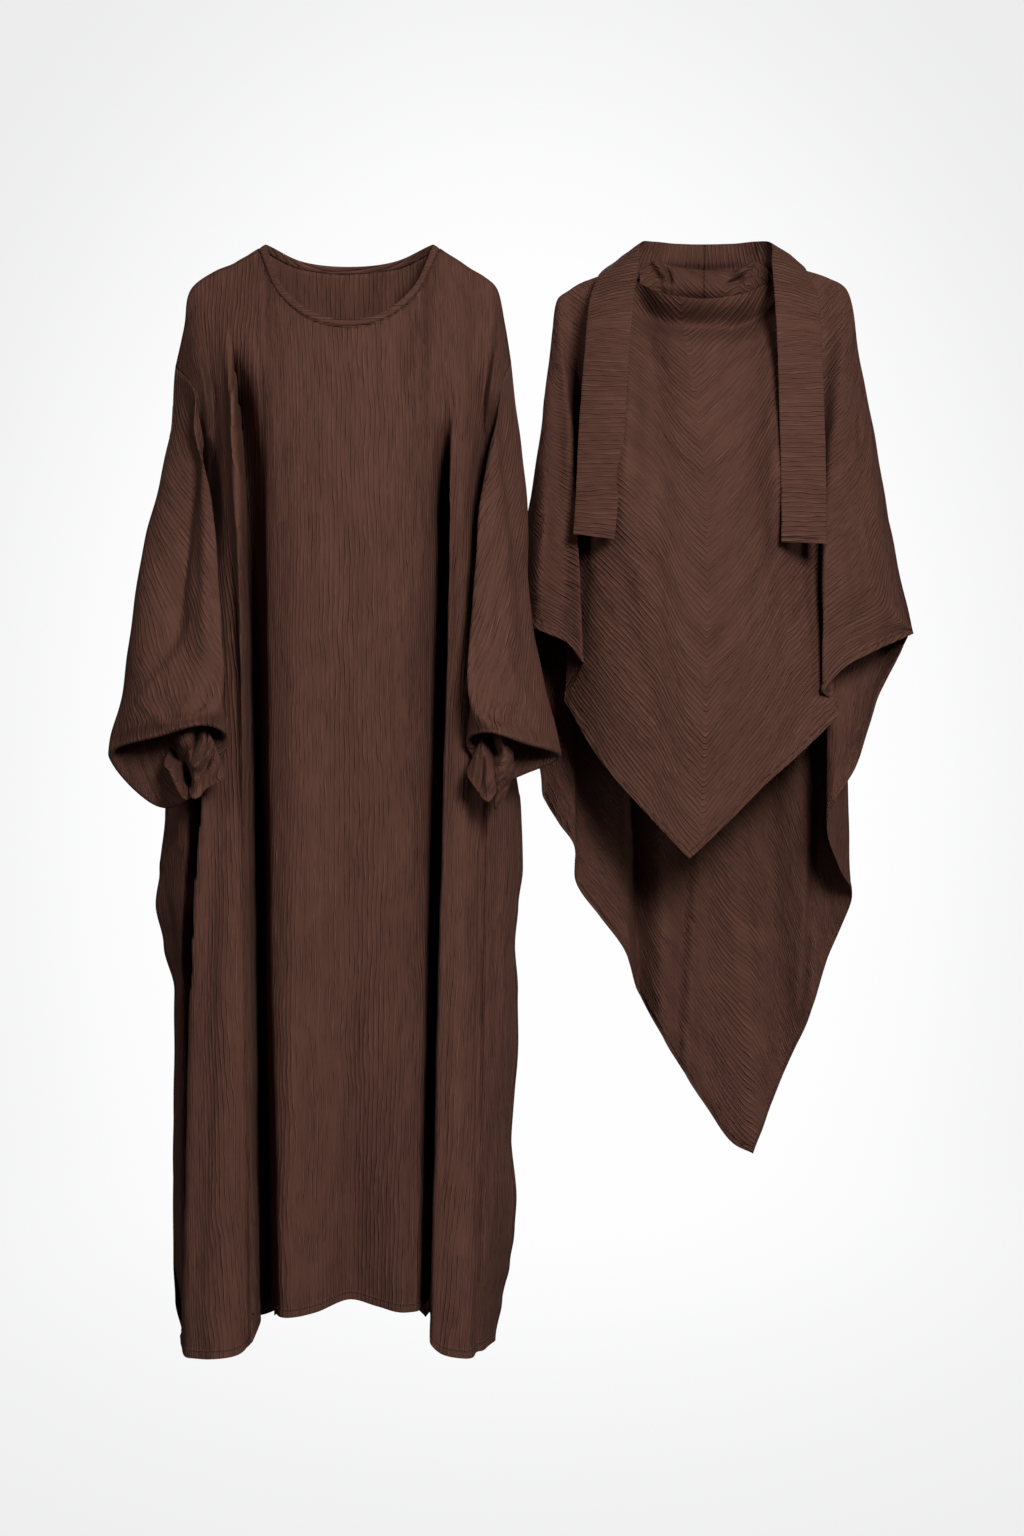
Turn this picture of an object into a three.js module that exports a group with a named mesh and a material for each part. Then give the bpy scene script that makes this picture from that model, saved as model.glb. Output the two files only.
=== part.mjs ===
// A two-piece abaya: a floor-length batwing dress with bloused sleeves, and a pointed cape with a
// cowl neck and two neck ties, hung side by side in the shapes they take when they are worn.
//
// Millimetres. X runs to the viewer's right, Y away from the viewer, Z up. The origin is the middle
// of the dress's neck, level with the high points of its shoulder seams.

import * as THREE from "three";

// Driving sizes.
const CLOTH = 1.6; // wall of a crepe panel, its hems and seam allowances averaged in
const BAND_CLOTH = 2.4; // binding, ties and cowl are folded double
const SEAM_GAP = 0.4; // left between two panels at a seam
const ARM_SEAM_GAP = 2.5; // left between a sleeve and the armhole it hangs from
const BINDING_HEIGHT = 10;
const BINDING_GAP = 1.3;
const UNDERARM_HEIGHT = -288;
const MIDDLE_HEIGHT = -560; // just above the sleeve ends, where the columns of cloth are full
const CAPE_CENTRE = 456; // the cape's middle line, to the right of the dress's
const CAPE_SETBACK = 90; // the cape hangs this far behind the dress's shoulder line
const CUFF_GATHERS = 9;
const CUFF_GATHER_SHARE = 0.13; // how far a gather stands out, as a share of the cuff's radius

// Widths and heights in the tables are those of the front elevation, drawn on the plane of the
// dress's shoulders from 4 m in front of it. place() carries a point along its sight line to its
// own depth y, so a fold that stands nearer is really a little narrower than it is drawn.
const ELEVATION = { distance: 4000, x: 210, z: -669 };

function place([x, y, z]) {
  const k = 1 + y / ELEVATION.distance;
  return new THREE.Vector3(ELEVATION.x + (x - ELEVATION.x) * k, y, ELEVATION.z + (z - ELEVATION.z) * k);
}

function placeOnCape([x, y, z]) {
  return place([x + CAPE_CENTRE, y + CAPE_SETBACK, z]);
}

const mix = (a, b, t) => a + (b - a) * t;

// Cloth colours, all from one dye lot.
const BROWN = new THREE.Color("#4f352d");
const BROWN_TURNED = new THREE.Color("#553a31");

function cloth(color = BROWN) {
  return new THREE.MeshStandardMaterial({ color, roughness: 0.85, metalness: 0 });
}

// THE DRESS
//
// Each row is one fold line of the front, from the left side seam to the right one. top lies on the
// shoulder seam or the neckline, middle at MIDDLE_HEIGHT, hem on the hem. The two armhole rows and
// the fold beside each arm also say where they are at the yoke and at the underarm.
const DRESS_FRONT = [
  { fold: "left side seam", top: [-221, 5, -156], yoke: [-196, -60, -186], underarm: [-183, 0],
    middle: [-190, 40], hem: [-210, 40, -1396] },
  { fold: "arm fold", top: [-210, 3, -105], yoke: [-184, -74, -176], underarm: [-176, -24],
    middle: [-187, -2], hem: [-209, -50, -1404] },
  { fold: "armpit groove", top: [-201, 2, -57], yoke: [-176, -50, -168], underarm: [-168, -46],
    middle: [-178, -50], hem: [-202, -115, -1421] },
  { fold: "column, outside", top: [-170, 2, -33], yoke: [-164, -62, -160], underarm: [-156, -78],
    middle: [-158, -80], hem: [-177, -148, -1426] },
  { fold: "column, front", top: [-148, 3, -24], middle: [-137, -86], hem: [-141, -145, -1420] },
  { fold: "column, edge", top: [-138, 3, -18], middle: [-130, -62], hem: [-120, -118, -1398] },
  { fold: "groove wall", top: [-129, 4, -13], middle: [-120, -35], hem: [-119, -60, -1376] },
  { fold: "groove floor", top: [-121, 4, -8], middle: [-106, -32], hem: [-110, -32, -1368] },
  { fold: "panel, left edge", top: [-114, 5, -4], middle: [-99, -70], hem: [-102, -78, -1367] },
  { fold: "panel, left swell", top: [-88, -38, -62], middle: [-70, -94], hem: [-78, -104, -1373] },
  { fold: "panel, left", top: [-46, -60, -95], middle: [-34, -97], hem: [-42, -88, -1366] },
  { fold: "panel, hollow", top: [0, -66, -104], middle: [2, -95], hem: [2, -62, -1349] },
  { fold: "panel, right", top: [46, -60, -95], middle: [38, -97], hem: [38, -82, -1358] },
  { fold: "panel, right swell", top: [88, -38, -62], middle: [72, -90], hem: [68, -102, -1366] },
  { fold: "panel, right edge", top: [118, 5, -4], middle: [98, -66], hem: [98, -90, -1363] },
  { fold: "groove floor", top: [128, 4, -11], middle: [112, -36], hem: [108, -45, -1362] },
  { fold: "column, edge", top: [141, 3, -19], middle: [123, -62], hem: [103, -100, -1385] },
  { fold: "column, front", top: [156, 3, -29], middle: [134, -86], hem: [118, -146, -1418] },
  { fold: "column, outside", top: [175, 2, -40], yoke: [164, -62, -160], underarm: [152, -78],
    middle: [152, -84], hem: [150, -150, -1425] },
  { fold: "armpit groove", top: [191, 2, -55], yoke: [177, -50, -168], underarm: [164, -46],
    middle: [174, -50], hem: [168, -118, -1418] },
  { fold: "arm fold", top: [201, 3, -100], yoke: [184, -74, -174], underarm: [172, -24],
    middle: [188, -5], hem: [180, -55, -1408] },
  { fold: "right side seam", top: [209, 5, -150], yoke: [196, -60, -184], underarm: [182, 0],
    middle: [196, 38], hem: [188, 10, -1402] },
];

// The back's fold lines. Its shoulder rows start from the front's own shoulder seam, in order.
const DRESS_BACK = [
  { fold: "left side seam", yoke: [-200, 46, -190], underarm: [-183, 0], middle: [-190, 40],
    hem: [-210, 40, -1396] },
  { fold: "left back arm", yoke: [-186, 62, -176], underarm: [-177, 40], middle: [-178, 76],
    hem: [-206, 72, -1392] },
  { fold: "left blade", yoke: [-172, 70, -166], underarm: [-166, 66], middle: [-162, 84],
    hem: [-192, 100, -1386] },
  { fold: "left column, outside", middle: [-150, 80], hem: [-172, 92, -1380] },
  { fold: "left column, front", middle: [-134, 96], hem: [-150, 120, -1376] },
  { fold: "left column, edge", middle: [-122, 104], hem: [-128, 130, -1372] },
  { fold: "left column, inside", middle: [-108, 98], hem: [-106, 112, -1368] },
  { fold: "left trough", middle: [-94, 90], hem: [-86, 86, -1360] },
  { fold: "left swell", middle: [-76, 97], hem: [-64, 98, -1353] },
  { fold: "centre left", top: [-62, 46, -30], middle: [-42, 106], hem: [-34, 116, -1346] },
  { fold: "centre back", top: [2, 60, -37], middle: [0, 100], hem: [0, 98, -1342] },
  { fold: "centre right", top: [64, 46, -30], middle: [42, 106], hem: [36, 114, -1346] },
  { fold: "right swell", middle: [78, 98], hem: [70, 100, -1353] },
  { fold: "right trough", middle: [98, 90], hem: [94, 88, -1360] },
  { fold: "right column, inside", middle: [114, 99], hem: [116, 116, -1372] },
  { fold: "right column, edge", middle: [128, 103], hem: [134, 128, -1376] },
  { fold: "right column, outside", middle: [142, 92], hem: [152, 110, -1382] },
  { fold: "right blade", yoke: [172, 70, -166], underarm: [164, 66], middle: [156, 82],
    hem: [168, 92, -1390] },
  { fold: "right back arm", yoke: [184, 62, -176], underarm: [174, 40], middle: [172, 72],
    hem: [180, 60, -1396] },
  { fold: "right side seam", yoke: [196, 46, -188], underarm: [182, 0], middle: [196, 38],
    hem: [188, 10, -1402] },
];
const DRESS_SHOULDER_ROWS = { left: 8, right: 7 }; // fold intervals along each shoulder seam

// The hemmed side edges swing in and out below the sleeves.
const DRESS_SIDE_EDGE = [
  { z: -560, left: -190, right: 196 },
  { z: -724, left: -232, right: 218 },
  { z: -796, left: -238, right: 220 },
  { z: -844, left: -245, right: 214 },
  { z: -896, left: -234, right: 210 },
  { z: -952, left: -220, right: 214 },
  { z: -1020, left: -220, right: 215 },
  { z: -1140, left: -221, right: 207 },
  { z: -1220, left: -221, right: 214 },
  { z: -1260, left: -221, right: 212 },
  { z: -1300, left: -221, right: 206 },
  { z: -1350, left: -218, right: 196 },
  { z: -1400, left: -208, right: 188 },
];
const EDGE_SHARE = [1, 0.55, 0.12]; // how much of that swing the edge and the next two folds take

// How deep the chest is at the yoke and the underarm, and how far the folds have opened there.
const YOKE = { down: 0.5, along: 0.3, front: -92, back: 84, halfWidth: 204, opened: 0.05 };
const UNDERARM = { down: 1, along: 0.56, front: -106, back: 94, halfWidth: 200, opened: 0.38 };
const CHEST_SQUARENESS = 2.6;

const DRESS_ROWS = [3, 2, 4, 12]; // steps from top to yoke, underarm, middle and hem
const ACROSS = 2; // steps from one fold line to the next

function chestStation(row, level, side) {
  const [topX, , topZ] = row.top;
  const [middleX, middleY] = row.middle;
  const x = mix(topX, middleX, level.along);
  const round = (1 - Math.min(1, Math.abs(x) / level.halfWidth) ** CHEST_SQUARENESS) ** (1 / CHEST_SQUARENESS);
  const y = mix(level[side] * round, middleY, level.opened);
  return [x, y, mix(topZ, UNDERARM_HEIGHT, level.down)];
}

function dressLine(row, side) {
  const yoke = row.yoke ?? chestStation(row, YOKE, side);
  const underarm = row.underarm ? [...row.underarm, UNDERARM_HEIGHT] : chestStation(row, UNDERARM, side);
  return [row.top, yoke, underarm, [...row.middle, MIDDLE_HEIGHT], row.hem];
}

// A value read from a table of heights, from high to low.
function atHeight(table, column, z) {
  const i = table.findIndex((row) => row.z <= z);
  if (i <= 0) return table[i < 0 ? table.length - 1 : 0][column];
  const [above, below] = [table[i - 1], table[i]];
  const t = (above.z - z) / (above.z - below.z);
  return mix(above[column], below[column], t * t * (3 - 2 * t));
}

function swingOfEdge(side, z) {
  if (z > MIDDLE_HEIGHT) return 0;
  const [first, last] = [DRESS_SIDE_EDGE[0], DRESS_SIDE_EDGE.at(-1)];
  const straight = mix(first[side], last[side], Math.min(1, (first.z - z) / (first.z - last.z)));
  return atHeight(DRESS_SIDE_EDGE, side, z) - straight;
}

// SURFACES
//
// A surface is a grid of points: grid[i][j], i across the folds and j down them.

function splineThrough(points, closed = false) {
  return new THREE.CatmullRomCurve3(points, closed, "centripetal");
}

// A curve through the points that turns a corner at each break, measured in points along it.
function curveThrough(points, breaks = []) {
  const ends = [0, ...breaks, points.length - 1];
  const spans = ends.slice(1).map((end, k) => splineThrough(points.slice(ends[k], end + 1)));
  return (at) => {
    const k = Math.max(0, ends.findIndex((end) => end >= at) - 1);
    return spans[k].getPoint((at - ends[k]) / (ends[k + 1] - ends[k]));
  };
}

// Points down one fold line, with so many steps between one station and the next.
function downLine(stations, steps, placed, breaks) {
  const curve = curveThrough(stations.map((s) => new THREE.Vector3(...s)), breaks);
  const points = [];
  steps.forEach((count, k) => {
    for (let n = k ? 1 : 0; n <= count; n++) points.push(curve(k + n / count));
  });
  return points.map((p) => placed(p));
}

// The whole panel, from its fold lines. Its top edge turns a corner at each neck point.
function panelGrid(lines, across, neckPoints) {
  const rows = lines[0].length;
  const columns = (lines.length - 1) * across;
  const curves = Array.from({ length: rows }, (_, j) =>
    curveThrough(lines.map((line) => line[j]), j ? [] : neckPoints),
  );
  return Array.from({ length: columns + 1 }, (_, i) => curves.map((curve) => curve(i / across)));
}

function gridNormals(grid, closed, flip) {
  const columns = grid.length;
  const rows = grid[0].length;
  const across = (i) => (closed ? (i + columns) % columns : Math.min(Math.max(i, 0), columns - 1));
  const down = (j) => Math.min(Math.max(j, 0), rows - 1);
  return grid.map((column, i) =>
    column.map((_, j) => {
      const du = grid[across(i + 1)][j].clone().sub(grid[across(i - 1)][j]);
      const dv = grid[i][down(j + 1)].clone().sub(grid[i][down(j - 1)]);
      return du.cross(dv).normalize().multiplyScalar(flip ? -1 : 1);
    }),
  );
}

// Two panels share one direction of thickness where they are sewn, so their walls meet in a mitre.
function sewNormals(a, b, pairs) {
  for (const [[ia, ja], [ib, jb]] of pairs) {
    const shared = a[ia][ja].clone().add(b[ib][jb]).normalize();
    a[ia][ja].copy(shared);
    b[ib][jb].copy(shared);
  }
}

function drawBack(grid, edge, distance) {
  const last = { i: grid.length - 1, j: grid[0].length - 1 };
  const moved = [];
  const move = (i, j, towardsI, towardsJ) => {
    const step = grid[towardsI][towardsJ].clone().sub(grid[i][j]);
    moved.push([grid[i][j], step.setLength(Math.min(distance, step.length() / 2))]);
  };
  if (edge === "left" || edge === "right") {
    const [i, k] = edge === "left" ? [0, 1] : [last.i, last.i - 1];
    for (let j = 0; j <= last.j; j++) move(i, j, k, j);
  } else {
    const [j, k] = edge === "top" ? [0, 1] : [last.j, last.j - 1];
    for (let i = 0; i <= last.i; i++) move(i, j, i, k);
  }
  for (const [point, step] of moved) point.add(step);
}

// A wall on a grid: the grid is its face, and the thickness lies behind it, against the normals.
function wall(grid, normals, thickness, closed = false) {
  const columns = grid.length;
  const rows = grid[0].length;
  const positions = [];
  for (const depth of [0, thickness]) {
    grid.forEach((column, i) =>
      column.forEach((p, j) => positions.push(...p.clone().addScaledVector(normals[i][j], -depth).toArray())),
    );
  }
  const face = (i, j) => (i % columns) * rows + j;
  const behind = (i, j) => columns * rows + face(i, j);
  const index = [];
  const quad = (a, b, c, d) => index.push(a, b, c, a, c, d);
  const spans = closed ? columns : columns - 1;
  for (let i = 0; i < spans; i++) {
    for (let j = 0; j < rows - 1; j++) {
      quad(face(i, j), face(i + 1, j), face(i + 1, j + 1), face(i, j + 1));
      quad(behind(i, j), behind(i, j + 1), behind(i + 1, j + 1), behind(i + 1, j));
    }
    quad(face(i, 0), behind(i, 0), behind(i + 1, 0), face(i + 1, 0));
    quad(face(i, rows - 1), face(i + 1, rows - 1), behind(i + 1, rows - 1), behind(i, rows - 1));
  }
  for (let j = 0; j < rows - 1 && !closed; j++) {
    quad(face(0, j), face(0, j + 1), behind(0, j + 1), behind(0, j));
    quad(face(spans, j), behind(spans, j), behind(spans, j + 1), face(spans, j + 1));
  }
  // The quads above face out where the normal is du x dv; otherwise every triangle is turned round.
  const du = grid[1][0].clone().sub(grid[0][0]);
  const dv = grid[0][1].clone().sub(grid[0][0]);
  if (du.cross(dv).dot(normals[0][0]) < 0) {
    for (let k = 0; k < index.length; k += 3) [index[k + 1], index[k + 2]] = [index[k + 2], index[k + 1]];
  }
  const geometry = new THREE.BufferGeometry();
  geometry.setAttribute("position", new THREE.Float32BufferAttribute(positions, 3));
  geometry.setIndex(index);
  return geometry;
}

function piece(name, geometry, color) {
  const mesh = new THREE.Mesh(geometry, cloth(color));
  mesh.name = name;
  return mesh;
}

// DRESS FRONT AND BACK

const leftRows = DRESS_SHOULDER_ROWS.left;
const rightRows = DRESS_SHOULDER_ROWS.right;
const backRows = DRESS_BACK.map((row, k) => {
  const fromRight = DRESS_BACK.length - 1 - k;
  if (k <= leftRows) return { ...row, top: DRESS_FRONT[k].top };
  if (fromRight <= rightRows) return { ...row, top: DRESS_FRONT.at(-1 - fromRight).top };
  return row;
});

function dressGrid(rows, side) {
  const lines = rows.map((row, k) => {
    const fromRight = rows.length - 1 - k;
    const share = EDGE_SHARE[Math.min(k, fromRight)] ?? 0;
    const edge = k < fromRight ? "left" : "right";
    const swung = (p) => place([p.x + share * swingOfEdge(edge, p.z), p.y, p.z]);
    const isSeam = k === 0 || fromRight === 0;
    return downLine(dressLine(row, side), DRESS_ROWS, swung, isSeam ? [2] : []);
  });
  return panelGrid(lines, ACROSS, [leftRows, rows.length - 1 - rightRows]);
}

const frontGrid = dressGrid(DRESS_FRONT, "front");
const backGrid = dressGrid(backRows, "back");
const frontNormals = gridNormals(frontGrid, false, true);
const backNormals = gridNormals(backGrid, false, false);
const armRows = DRESS_ROWS[0] + DRESS_ROWS[1];
const lastFront = frontGrid.length - 1;
const lastBack = backGrid.length - 1;
const lastRow = frontGrid[0].length - 1;
const dressSeams = [];
for (let i = 0; i <= leftRows * ACROSS; i++) dressSeams.push([[i, 0], [i, 0]]);
for (let i = 0; i <= rightRows * ACROSS; i++) dressSeams.push([[lastFront - i, 0], [lastBack - i, 0]]);
for (let j = armRows; j <= lastRow; j++) {
  dressSeams.push([[0, j], [0, j]]);
  dressSeams.push([[lastFront, j], [lastBack, j]]);
}
sewNormals(frontNormals, backNormals, dressSeams);

// The armhole is the ring of side-edge points from the shoulder seam down to the underarm: forward
// down the front, then back up the back.
function armhole(side, count) {
  const front = frontGrid[side === "left" ? 0 : lastFront].slice(0, armRows + 1);
  const back = backGrid[side === "left" ? 0 : lastBack].slice(0, armRows + 1);
  const ring = [...front, ...back.slice(1, -1).reverse()];
  return Array.from({ length: count }, (_, k) => {
    const t = (k / count) * ring.length;
    const a = ring[Math.floor(t) % ring.length];
    const b = ring[(Math.floor(t) + 1) % ring.length];
    return a.clone().lerp(b, t - Math.floor(t));
  });
}

// SLEEVES
//
// Each section runs round the sleeve from its outer edge over the front to the inner fold and back
// behind. The last section is the bloused end, where the cloth turns up inside to the cuff.
const SLEEVE_SECTIONS = {
  left: [
    { outer: [-250, -15, -326], frontOuter: [-221, -78, -326], frontInner: [-175, -94, -326],
      under: [-197, -22, -330], backInner: [-212, 24, -330], backOuter: [-238, 20, -326] },
    { outer: [-271, -35, -454], frontOuter: [-234, -102, -454], frontInner: [-165, -118, -454],
      under: [-193, -58, -456], backInner: [-216, 4, -458], backOuter: [-252, 0, -456] },
    { outer: [-288, -52, -570], frontOuter: [-253, -126, -570], frontInner: [-160, -140, -566],
      under: [-190, -94, -572], backInner: [-220, -30, -580], backOuter: [-264, -22, -576] },
    { outer: [-304, -66, -630], frontOuter: [-250, -144, -606], frontInner: [-170, -158, -596],
      under: [-158, -106, -610], backInner: [-204, -62, -655], backOuter: [-270, -36, -655] },
    { outer: [-307, -72, -652], frontOuter: [-241, -142, -625], frontInner: [-183, -156, -612],
      under: [-152, -112, -631], backInner: [-190, -76, -692], backOuter: [-241, -58, -717] },
  ],
  right: [
    { outer: [230, -15, -326], frontOuter: [206, -76, -326], frontInner: [171, -94, -326],
      under: [192, -22, -330], backInner: [198, 24, -330], backOuter: [220, 20, -326] },
    { outer: [237, -40, -454], frontOuter: [205, -106, -454], frontInner: [161, -118, -454],
      under: [180, -58, -456], backInner: [199, 2, -458], backOuter: [224, -2, -456] },
    { outer: [254, -58, -570], frontOuter: [214, -130, -570], frontInner: [154, -140, -566],
      under: [180, -94, -572], backInner: [204, -34, -576], backOuter: [236, -30, -574] },
    { outer: [270, -70, -634], frontOuter: [222, -146, -612], frontInner: [166, -158, -602],
      under: [156, -106, -612], backInner: [196, -62, -645], backOuter: [240, -44, -648] },
    { outer: [273, -76, -653], frontOuter: [224, -146, -634], frontInner: [180, -156, -621],
      under: [151, -112, -634], backInner: [188, -76, -684], backOuter: [234, -66, -672] },
  ],
};
const SLEEVE_AROUND = 24;
const SLEEVE_STEPS = [2, 2, 2, 2, 1]; // steps from the armhole to each section in turn
const TURN_IN = { inward: 9, up: 5 }; // the fold at the bloused end
const FUNNEL_STEPS = 2;

// The gathered cuff inside each sleeve end. drop is how far each side of it hangs.
const CUFFS = {
  left: { centre: [-192, -128, -598], halfWidth: 22, halfDepth: 14, drop: 98, outerDrop: 8, innerDrop: -12 },
  right: { centre: [188, -128, -604], halfWidth: 22, halfDepth: 14, drop: 106, outerDrop: -10, innerDrop: 4 },
};
const CUFF_TOP = 0.97; // its top just clears the sleeve turned up round it
const CUFF_FLARE = 1.12;
const CUFF_AROUND = 36;
const CUFF_ROWS = 3;

function sleeveSection(section) {
  const { outer, frontOuter, frontInner, under, backInner, backOuter } = section;
  const curve = splineThrough([outer, frontOuter, frontInner, under, backInner, backOuter].map(place), true);
  return Array.from({ length: SLEEVE_AROUND }, (_, k) => curve.getPoint(k / SLEEVE_AROUND));
}

// A point of the cuff's mouth: turn 0 is its outer side, a quarter its front, a half its inner side.
function cuffPoint(side, turn, scale, fall) {
  const { centre, halfWidth, halfDepth } = CUFFS[side];
  const outward = side === "left" ? -1 : 1;
  const angle = turn * 2 * Math.PI;
  return place([
    centre[0] + outward * halfWidth * scale * Math.cos(angle),
    centre[1] - halfDepth * scale * Math.sin(angle),
    centre[2] - fall,
  ]);
}

function sleeveGrid(side) {
  const sections = SLEEVE_SECTIONS[side].map(sleeveSection);
  const rings = [armhole(side, SLEEVE_AROUND), ...sections];
  const rim = rings.at(-1);
  return Array.from({ length: SLEEVE_AROUND }, (_, k) => {
    const turn = k / SLEEVE_AROUND;
    const curve = splineThrough(rings.map((ring) => ring[k]));
    const down = [];
    SLEEVE_STEPS.forEach((count, s) => {
      for (let n = s ? 1 : 0; n <= count; n++) down.push(curve.getPoint((s + n / count) / SLEEVE_STEPS.length));
    });
    const mouth = cuffPoint(side, turn, 1, 0);
    const inward = mouth.clone().sub(rim[k]).setZ(0);
    const turned = rim[k].clone().add(inward.setLength(TURN_IN.inward));
    turned.z += TURN_IN.up;
    for (let n = 0; n <= FUNNEL_STEPS; n++) down.push(turned.clone().lerp(mouth, n / FUNNEL_STEPS));
    return down;
  });
}

function sleeve(side) {
  const grid = sleeveGrid(side);
  const normals = gridNormals(grid, true, side === "left");
  drawBack(grid, "top", ARM_SEAM_GAP);
  drawBack(grid, "hem", SEAM_GAP);
  return piece(`dress_sleeve_${side}`, wall(grid, normals, CLOTH, true));
}

function cuff(side) {
  const { drop, outerDrop, innerDrop } = CUFFS[side];
  const grid = Array.from({ length: CUFF_AROUND }, (_, k) => {
    const turn = k / CUFF_AROUND;
    const gather = Math.sin(turn * 2 * Math.PI * CUFF_GATHERS);
    const outerShare = (1 + Math.cos(turn * 2 * Math.PI)) / 2;
    const fall = drop + mix(innerDrop, outerDrop, outerShare);
    return Array.from({ length: CUFF_ROWS + 1 }, (_, n) => {
      const t = n / CUFF_ROWS;
      const ripple = 1 + CUFF_GATHER_SHARE * gather * t;
      return cuffPoint(side, turn, mix(CUFF_TOP, CUFF_FLARE, t * t) * ripple, mix(SEAM_GAP, fall, t));
    });
  });
  const normals = gridNormals(grid, true, side === "left");
  return piece(`dress_cuff_${side}`, wall(grid, normals, CLOTH, true), BROWN_TURNED);
}

// NECK BINDING

// How far the binding leans in towards the neck for each unit it rises: more over the shoulders.
const BINDING_LEAN = { frontAndBack: 0.5, shoulder: 1.5 };

function neckBinding() {
  const front = frontGrid.slice(leftRows * ACROSS, lastFront - rightRows * ACROSS + 1).map((c) => c[0]);
  const back = backGrid.slice(leftRows * ACROSS + 1, lastBack - rightRows * ACROSS).map((c) => c[0]);
  const neckline = splineThrough([...front, ...back.reverse()], true);
  const count = 2 * (front.length + back.length);
  const centre = new THREE.Vector3();
  const seam = Array.from({ length: count }, (_, k) => neckline.getPoint(k / count));
  seam.forEach((p) => centre.addScaledVector(p, 1 / count));
  const halfWidth = Math.max(...seam.map((p) => Math.abs(p.x - centre.x)));
  const grid = seam.map((p) => {
    const inward = centre.clone().sub(p).setZ(0).normalize();
    const sideways = Math.abs(p.x - centre.x) / halfWidth;
    const lean = mix(BINDING_LEAN.frontAndBack, BINDING_LEAN.shoulder, sideways ** 6);
    const rise = inward.multiplyScalar(lean).add(new THREE.Vector3(0, 0, 1)).normalize();
    const start = p.clone().addScaledVector(rise, BINDING_GAP);
    return [start, p.clone().addScaledVector(rise, BINDING_HEIGHT)];
  });
  const normals = gridNormals(grid, true, false);
  return piece("dress_neck_binding", wall(grid, normals, BAND_CLOTH, true), BROWN_TURNED);
}

// THE CAPE
//
// Fold lines from the left wing tip to the right one, measured from the cape's middle line. top
// follows the seam from wing tip over the shoulder to the neck, hem is the pointed hem.
const CAPE_FRONT = [
  { fold: "left wing tip", top: [-250, -6, -462], middle: [-250, -10, -468], hem: [-249, -12, -476] },
  { fold: "left wing, outside", top: [-236, -6, -395], middle: [-232, -30, -446],
    hem: [-228, -38, -488] },
  { fold: "left wing, front", top: [-215, -8, -282], middle: [-210, -52, -390],
    hem: [-200, -62, -498] },
  { fold: "left wing, inside", top: [-200, -5, -160], middle: [-189, -70, -339],
    hem: [-175, -76, -509] },
  { fold: "left wing edge", top: [-188, 0, -70], middle: [-167, -84, -288], hem: [-155, -86, -534] },
  { fold: "left groove wall", top: [-182, 0, -63], middle: [-165, -62, -288], hem: [-163, -60, -553] },
  { fold: "left groove floor", top: [-174, 0, -58], middle: [-160, -36, -285], hem: [-178, -32, -579] },
  { fold: "left groove, inside", top: [-165, 0, -52], middle: [-150, -50, -282],
    hem: [-169, -46, -598] },
  { fold: "point, left edge", top: [-150, 0, -45], middle: [-132, -85, -282], hem: [-152, -66, -630] },
  { fold: "point, left swell", top: [-118, -2, -37], middle: [-97, -104, -288],
    hem: [-118, -88, -678] },
  { fold: "left neck", top: [-92, 4, -44], middle: [-60, -114, -314], hem: [-69, -98, -732] },
  { fold: "cowl, left", top: [-48, -50, -62], middle: [-18, -118, -326], hem: [-19, -106, -785] },
  { fold: "cowl, middle", top: [0, -62, -68], middle: [23, -118, -326], hem: [23, -100, -746] },
  { fold: "cowl, right", top: [48, -50, -62], middle: [60, -112, -314], hem: [82, -92, -687] },
  { fold: "right neck", top: [92, 4, -44], middle: [90, -102, -301], hem: [123, -80, -650] },
  { fold: "point, right edge", top: [120, -2, -32], middle: [106, -85, -352], hem: [156, -62, -618] },
  { fold: "right groove wall", top: [138, 0, -35], middle: [124, -58, -344], hem: [170, -54, -600] },
  { fold: "right groove floor", top: [159, 0, -42], middle: [146, -42, -339], hem: [167, -50, -586] },
  { fold: "right wing edge", top: [183, 0, -57], middle: [156, -82, -339], hem: [151, -80, -571] },
  { fold: "right wing, inside", top: [200, -4, -163], middle: [184, -72, -365], hem: [180, -70, -540] },
  { fold: "right wing, front", top: [223, -8, -285], middle: [215, -52, -416], hem: [212, -56, -522] },
  { fold: "right wing, outside", top: [248, -6, -411], middle: [246, -28, -463],
    hem: [242, -32, -508] },
  { fold: "right wing tip", top: [265, -5, -485], middle: [266, -8, -490], hem: [268, -8, -497] },
];

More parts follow.
